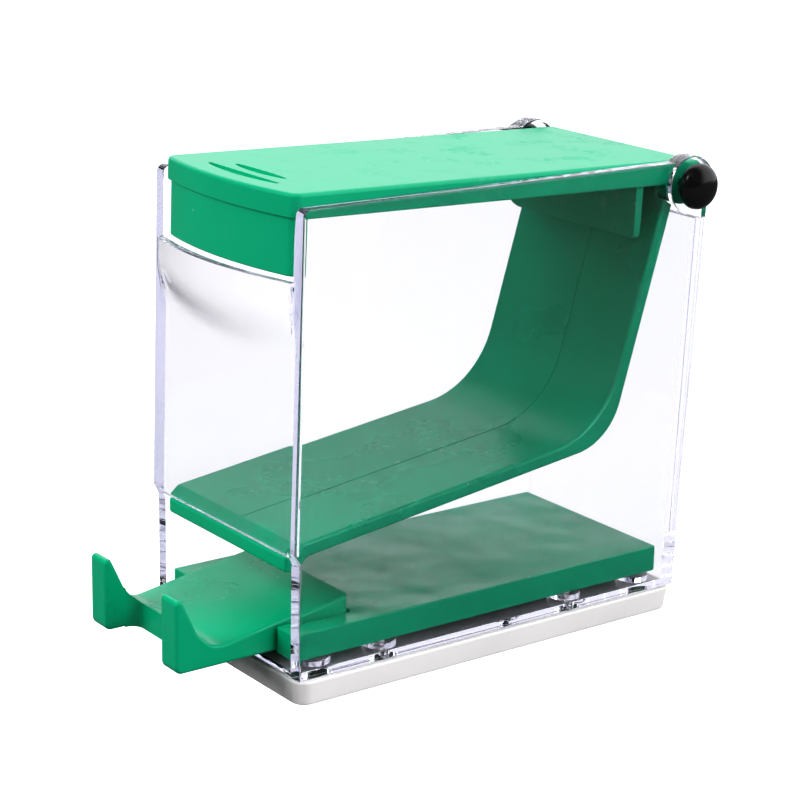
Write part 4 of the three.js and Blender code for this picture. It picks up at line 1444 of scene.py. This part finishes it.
class DISPENSER_OT_stage(bpy.types.Operator):
    """Adds the pale floor, the soft lights and the camera"""
    bl_idname = "dispenser.stage"
    bl_label = "Stage"

    def execute(self, context):
        stage = sizes("stage")
        add_camera(stage)
        add_floor(stage)
        add_lamps()
        add_sky()
        return {"FINISHED"}


# ---------- stage ----------

def add_camera(stage):
    back = Vector((
        sin(stage.azimuth) * cos(stage.elevation),
        -cos(stage.azimuth) * cos(stage.elevation),
        sin(stage.elevation),
    ))
    level = Vector((cos(stage.azimuth), sin(stage.azimuth), 0))
    up = back.cross(level)
    right = level * cos(stage.roll) + up * sin(stage.roll)
    top = up * cos(stage.roll) - level * sin(stage.roll)
    turn = Matrix((right, top, back)).transposed()
    object_mode()
    bpy.ops.object.camera_add(location=Vector(stage.aim) + back * stage.distance,
                              rotation=turn.to_euler())
    camera = bpy.context.object
    camera.data.lens = stage.lens
    camera.data.clip_start = 0.01
    bpy.context.scene.camera = camera


def seen(nodes, links):
    """1 for what shows directly, through clear plastic or along a clear wall, 0 otherwise.

    A ray along a wall is mirrored many times inside it; one or two mirrorings are gloss.
    """
    path = nodes.new("ShaderNodeLightPath").outputs
    direct = maths(nodes, links, "MAXIMUM", path["Is Camera Ray"], path["Is Transmission Ray"])
    gloss = maths(nodes, links, "COMPARE", path["Glossy Depth"], 1.5, 0.6)
    scattered = maths(nodes, links, "MAXIMUM", path["Diffuse Depth"], gloss)
    return maths(nodes, links, "SUBTRACT", direct, scattered, clamp=True)


def add_floor(stage):
    """A floor as pale as the backdrop, so that no horizon shows."""
    object_mode()
    bpy.ops.mesh.primitive_plane_add(size=stage.floor, location=(0, 0, 0))
    floor = bpy.context.object
    floor.name = "floor"
    look, nodes, links, shader = new_look("Pale paper")
    shader.inputs["Base Color"].default_value = (0.16, 0.16, 0.16, 1)
    shader.inputs["Roughness"].default_value = 1.0
    shader.inputs["Specular IOR Level"].default_value = 0.0
    shader.inputs["Emission Color"].default_value = (1, 1, 1, 1)
    links.new(scale_by(nodes, links, seen(nodes, links), 0.95), shader.inputs["Emission Strength"])
    floor.data.materials.append(look)


def soft_lamp(name, place, size, power, glossy, aim=(0, 0.005, 0.05)):
    """A square soft box that faces the object; only a glossy one shows as a highlight."""
    object_mode()
    bpy.ops.object.light_add(type="AREA", location=place)
    lamp = bpy.context.object
    lamp.name = name
    lamp.data.size = size
    lamp.data.energy = power
    lamp.visible_glossy = glossy
    away = Vector(place) - Vector(aim)
    lamp.rotation_euler = away.to_track_quat("Z", "Y").to_euler()


def add_lamps():
    soft_lamp("front_box", (-0.35, -0.75, 0.5), 0.5, 5.7, False)
    soft_lamp("side_box", (0.8, 0.1, 0.4), 0.5, 3.9, False)
    soft_lamp("top_box", (0.1, 0.0, 0.9), 0.8, 1.5, False)
    soft_lamp("window", (0.1, -0.7, 0.8), 0.22, 0.8, True)


def add_sky():
    """A bright backdrop and a dim room, so that gloss and clear edges have contrast."""
    world = bpy.data.worlds.new("Studio")
    bpy.context.scene.world = world
    world.use_nodes = True
    nodes, links = world.node_tree.nodes, world.node_tree.links
    background = nodes["Background"]
    background.inputs["Color"].default_value = (1, 1, 1, 1)
    side = nodes.new("ShaderNodeVectorMath")
    side.operation = "DOT_PRODUCT"
    side.inputs[1].default_value = (0.3, -0.95, 0)
    links.new(nodes.new("ShaderNodeTexCoord").outputs["Generated"], side.inputs[0])
    shade = nodes.new("ShaderNodeMapRange")
    shade.interpolation_type = "SMOOTHSTEP"
    links.new(side.outputs["Value"], shade.inputs["Value"])
    shade.inputs["From Min"].default_value = -0.4
    shade.inputs["From Max"].default_value = -0.05
    shade.inputs["To Min"].default_value = 1.1
    shade.inputs["To Max"].default_value = 0.08
    choose = nodes.new("ShaderNodeMix")
    links.new(seen(nodes, links), choose.inputs["Factor"])
    links.new(shade.outputs["Result"], choose.inputs["A"])
    choose.inputs["B"].default_value = 1.0
    links.new(choose.outputs["Result"], background.inputs["Strength"])
    scene = bpy.context.scene
    scene.view_settings.view_transform = "Standard"
    scene.view_settings.look = "High Contrast"
    # Light has to pass many clear faces and run along inside the walls.
    scene.cycles.max_bounces = 64
    scene.cycles.glossy_bounces = 48
    scene.cycles.transmission_bounces = 32


class DISPENSER_PT_panel(bpy.types.Panel):
    """Lists the dispenser's pieces"""
    bl_label = "Cotton roll dispenser"
    bl_idname = "DISPENSER_PT_panel"
    bl_space_type = "VIEW_3D"
    bl_region_type = "UI"
    bl_category = "Dispenser"

    def draw(self, context):
        for operator in OPERATORS:
            self.layout.operator(operator.bl_idname)


OPERATORS = (
    DISPENSER_OT_stage,
    DISPENSER_OT_housing,
    DISPENSER_OT_lid,
    DISPENSER_OT_bed,
    DISPENSER_OT_fork,
    DISPENSER_OT_tray,
    DISPENSER_OT_base,
    DISPENSER_OT_hinge,
)


def register():
    for name, group in SETTINGS.items():
        bpy.utils.register_class(group)
        setattr(bpy.types.Scene, name, bpy.props.PointerProperty(type=group))
    for operator in OPERATORS:
        bpy.utils.register_class(operator)
    bpy.utils.register_class(DISPENSER_PT_panel)


def unregister():
    bpy.utils.unregister_class(DISPENSER_PT_panel)
    for operator in reversed(OPERATORS):
        bpy.utils.unregister_class(operator)
    for name, group in SETTINGS.items():
        delattr(bpy.types.Scene, name)
        bpy.utils.unregister_class(group)


def main():
    register()
    bpy.ops.dispenser.stage()
    bpy.ops.dispenser.housing()
    bpy.ops.dispenser.lid()
    bpy.ops.dispenser.bed()
    bpy.ops.dispenser.fork()
    bpy.ops.dispenser.tray()
    bpy.ops.dispenser.base()
    bpy.ops.dispenser.hinge()


if __name__ == "__main__":
    main()
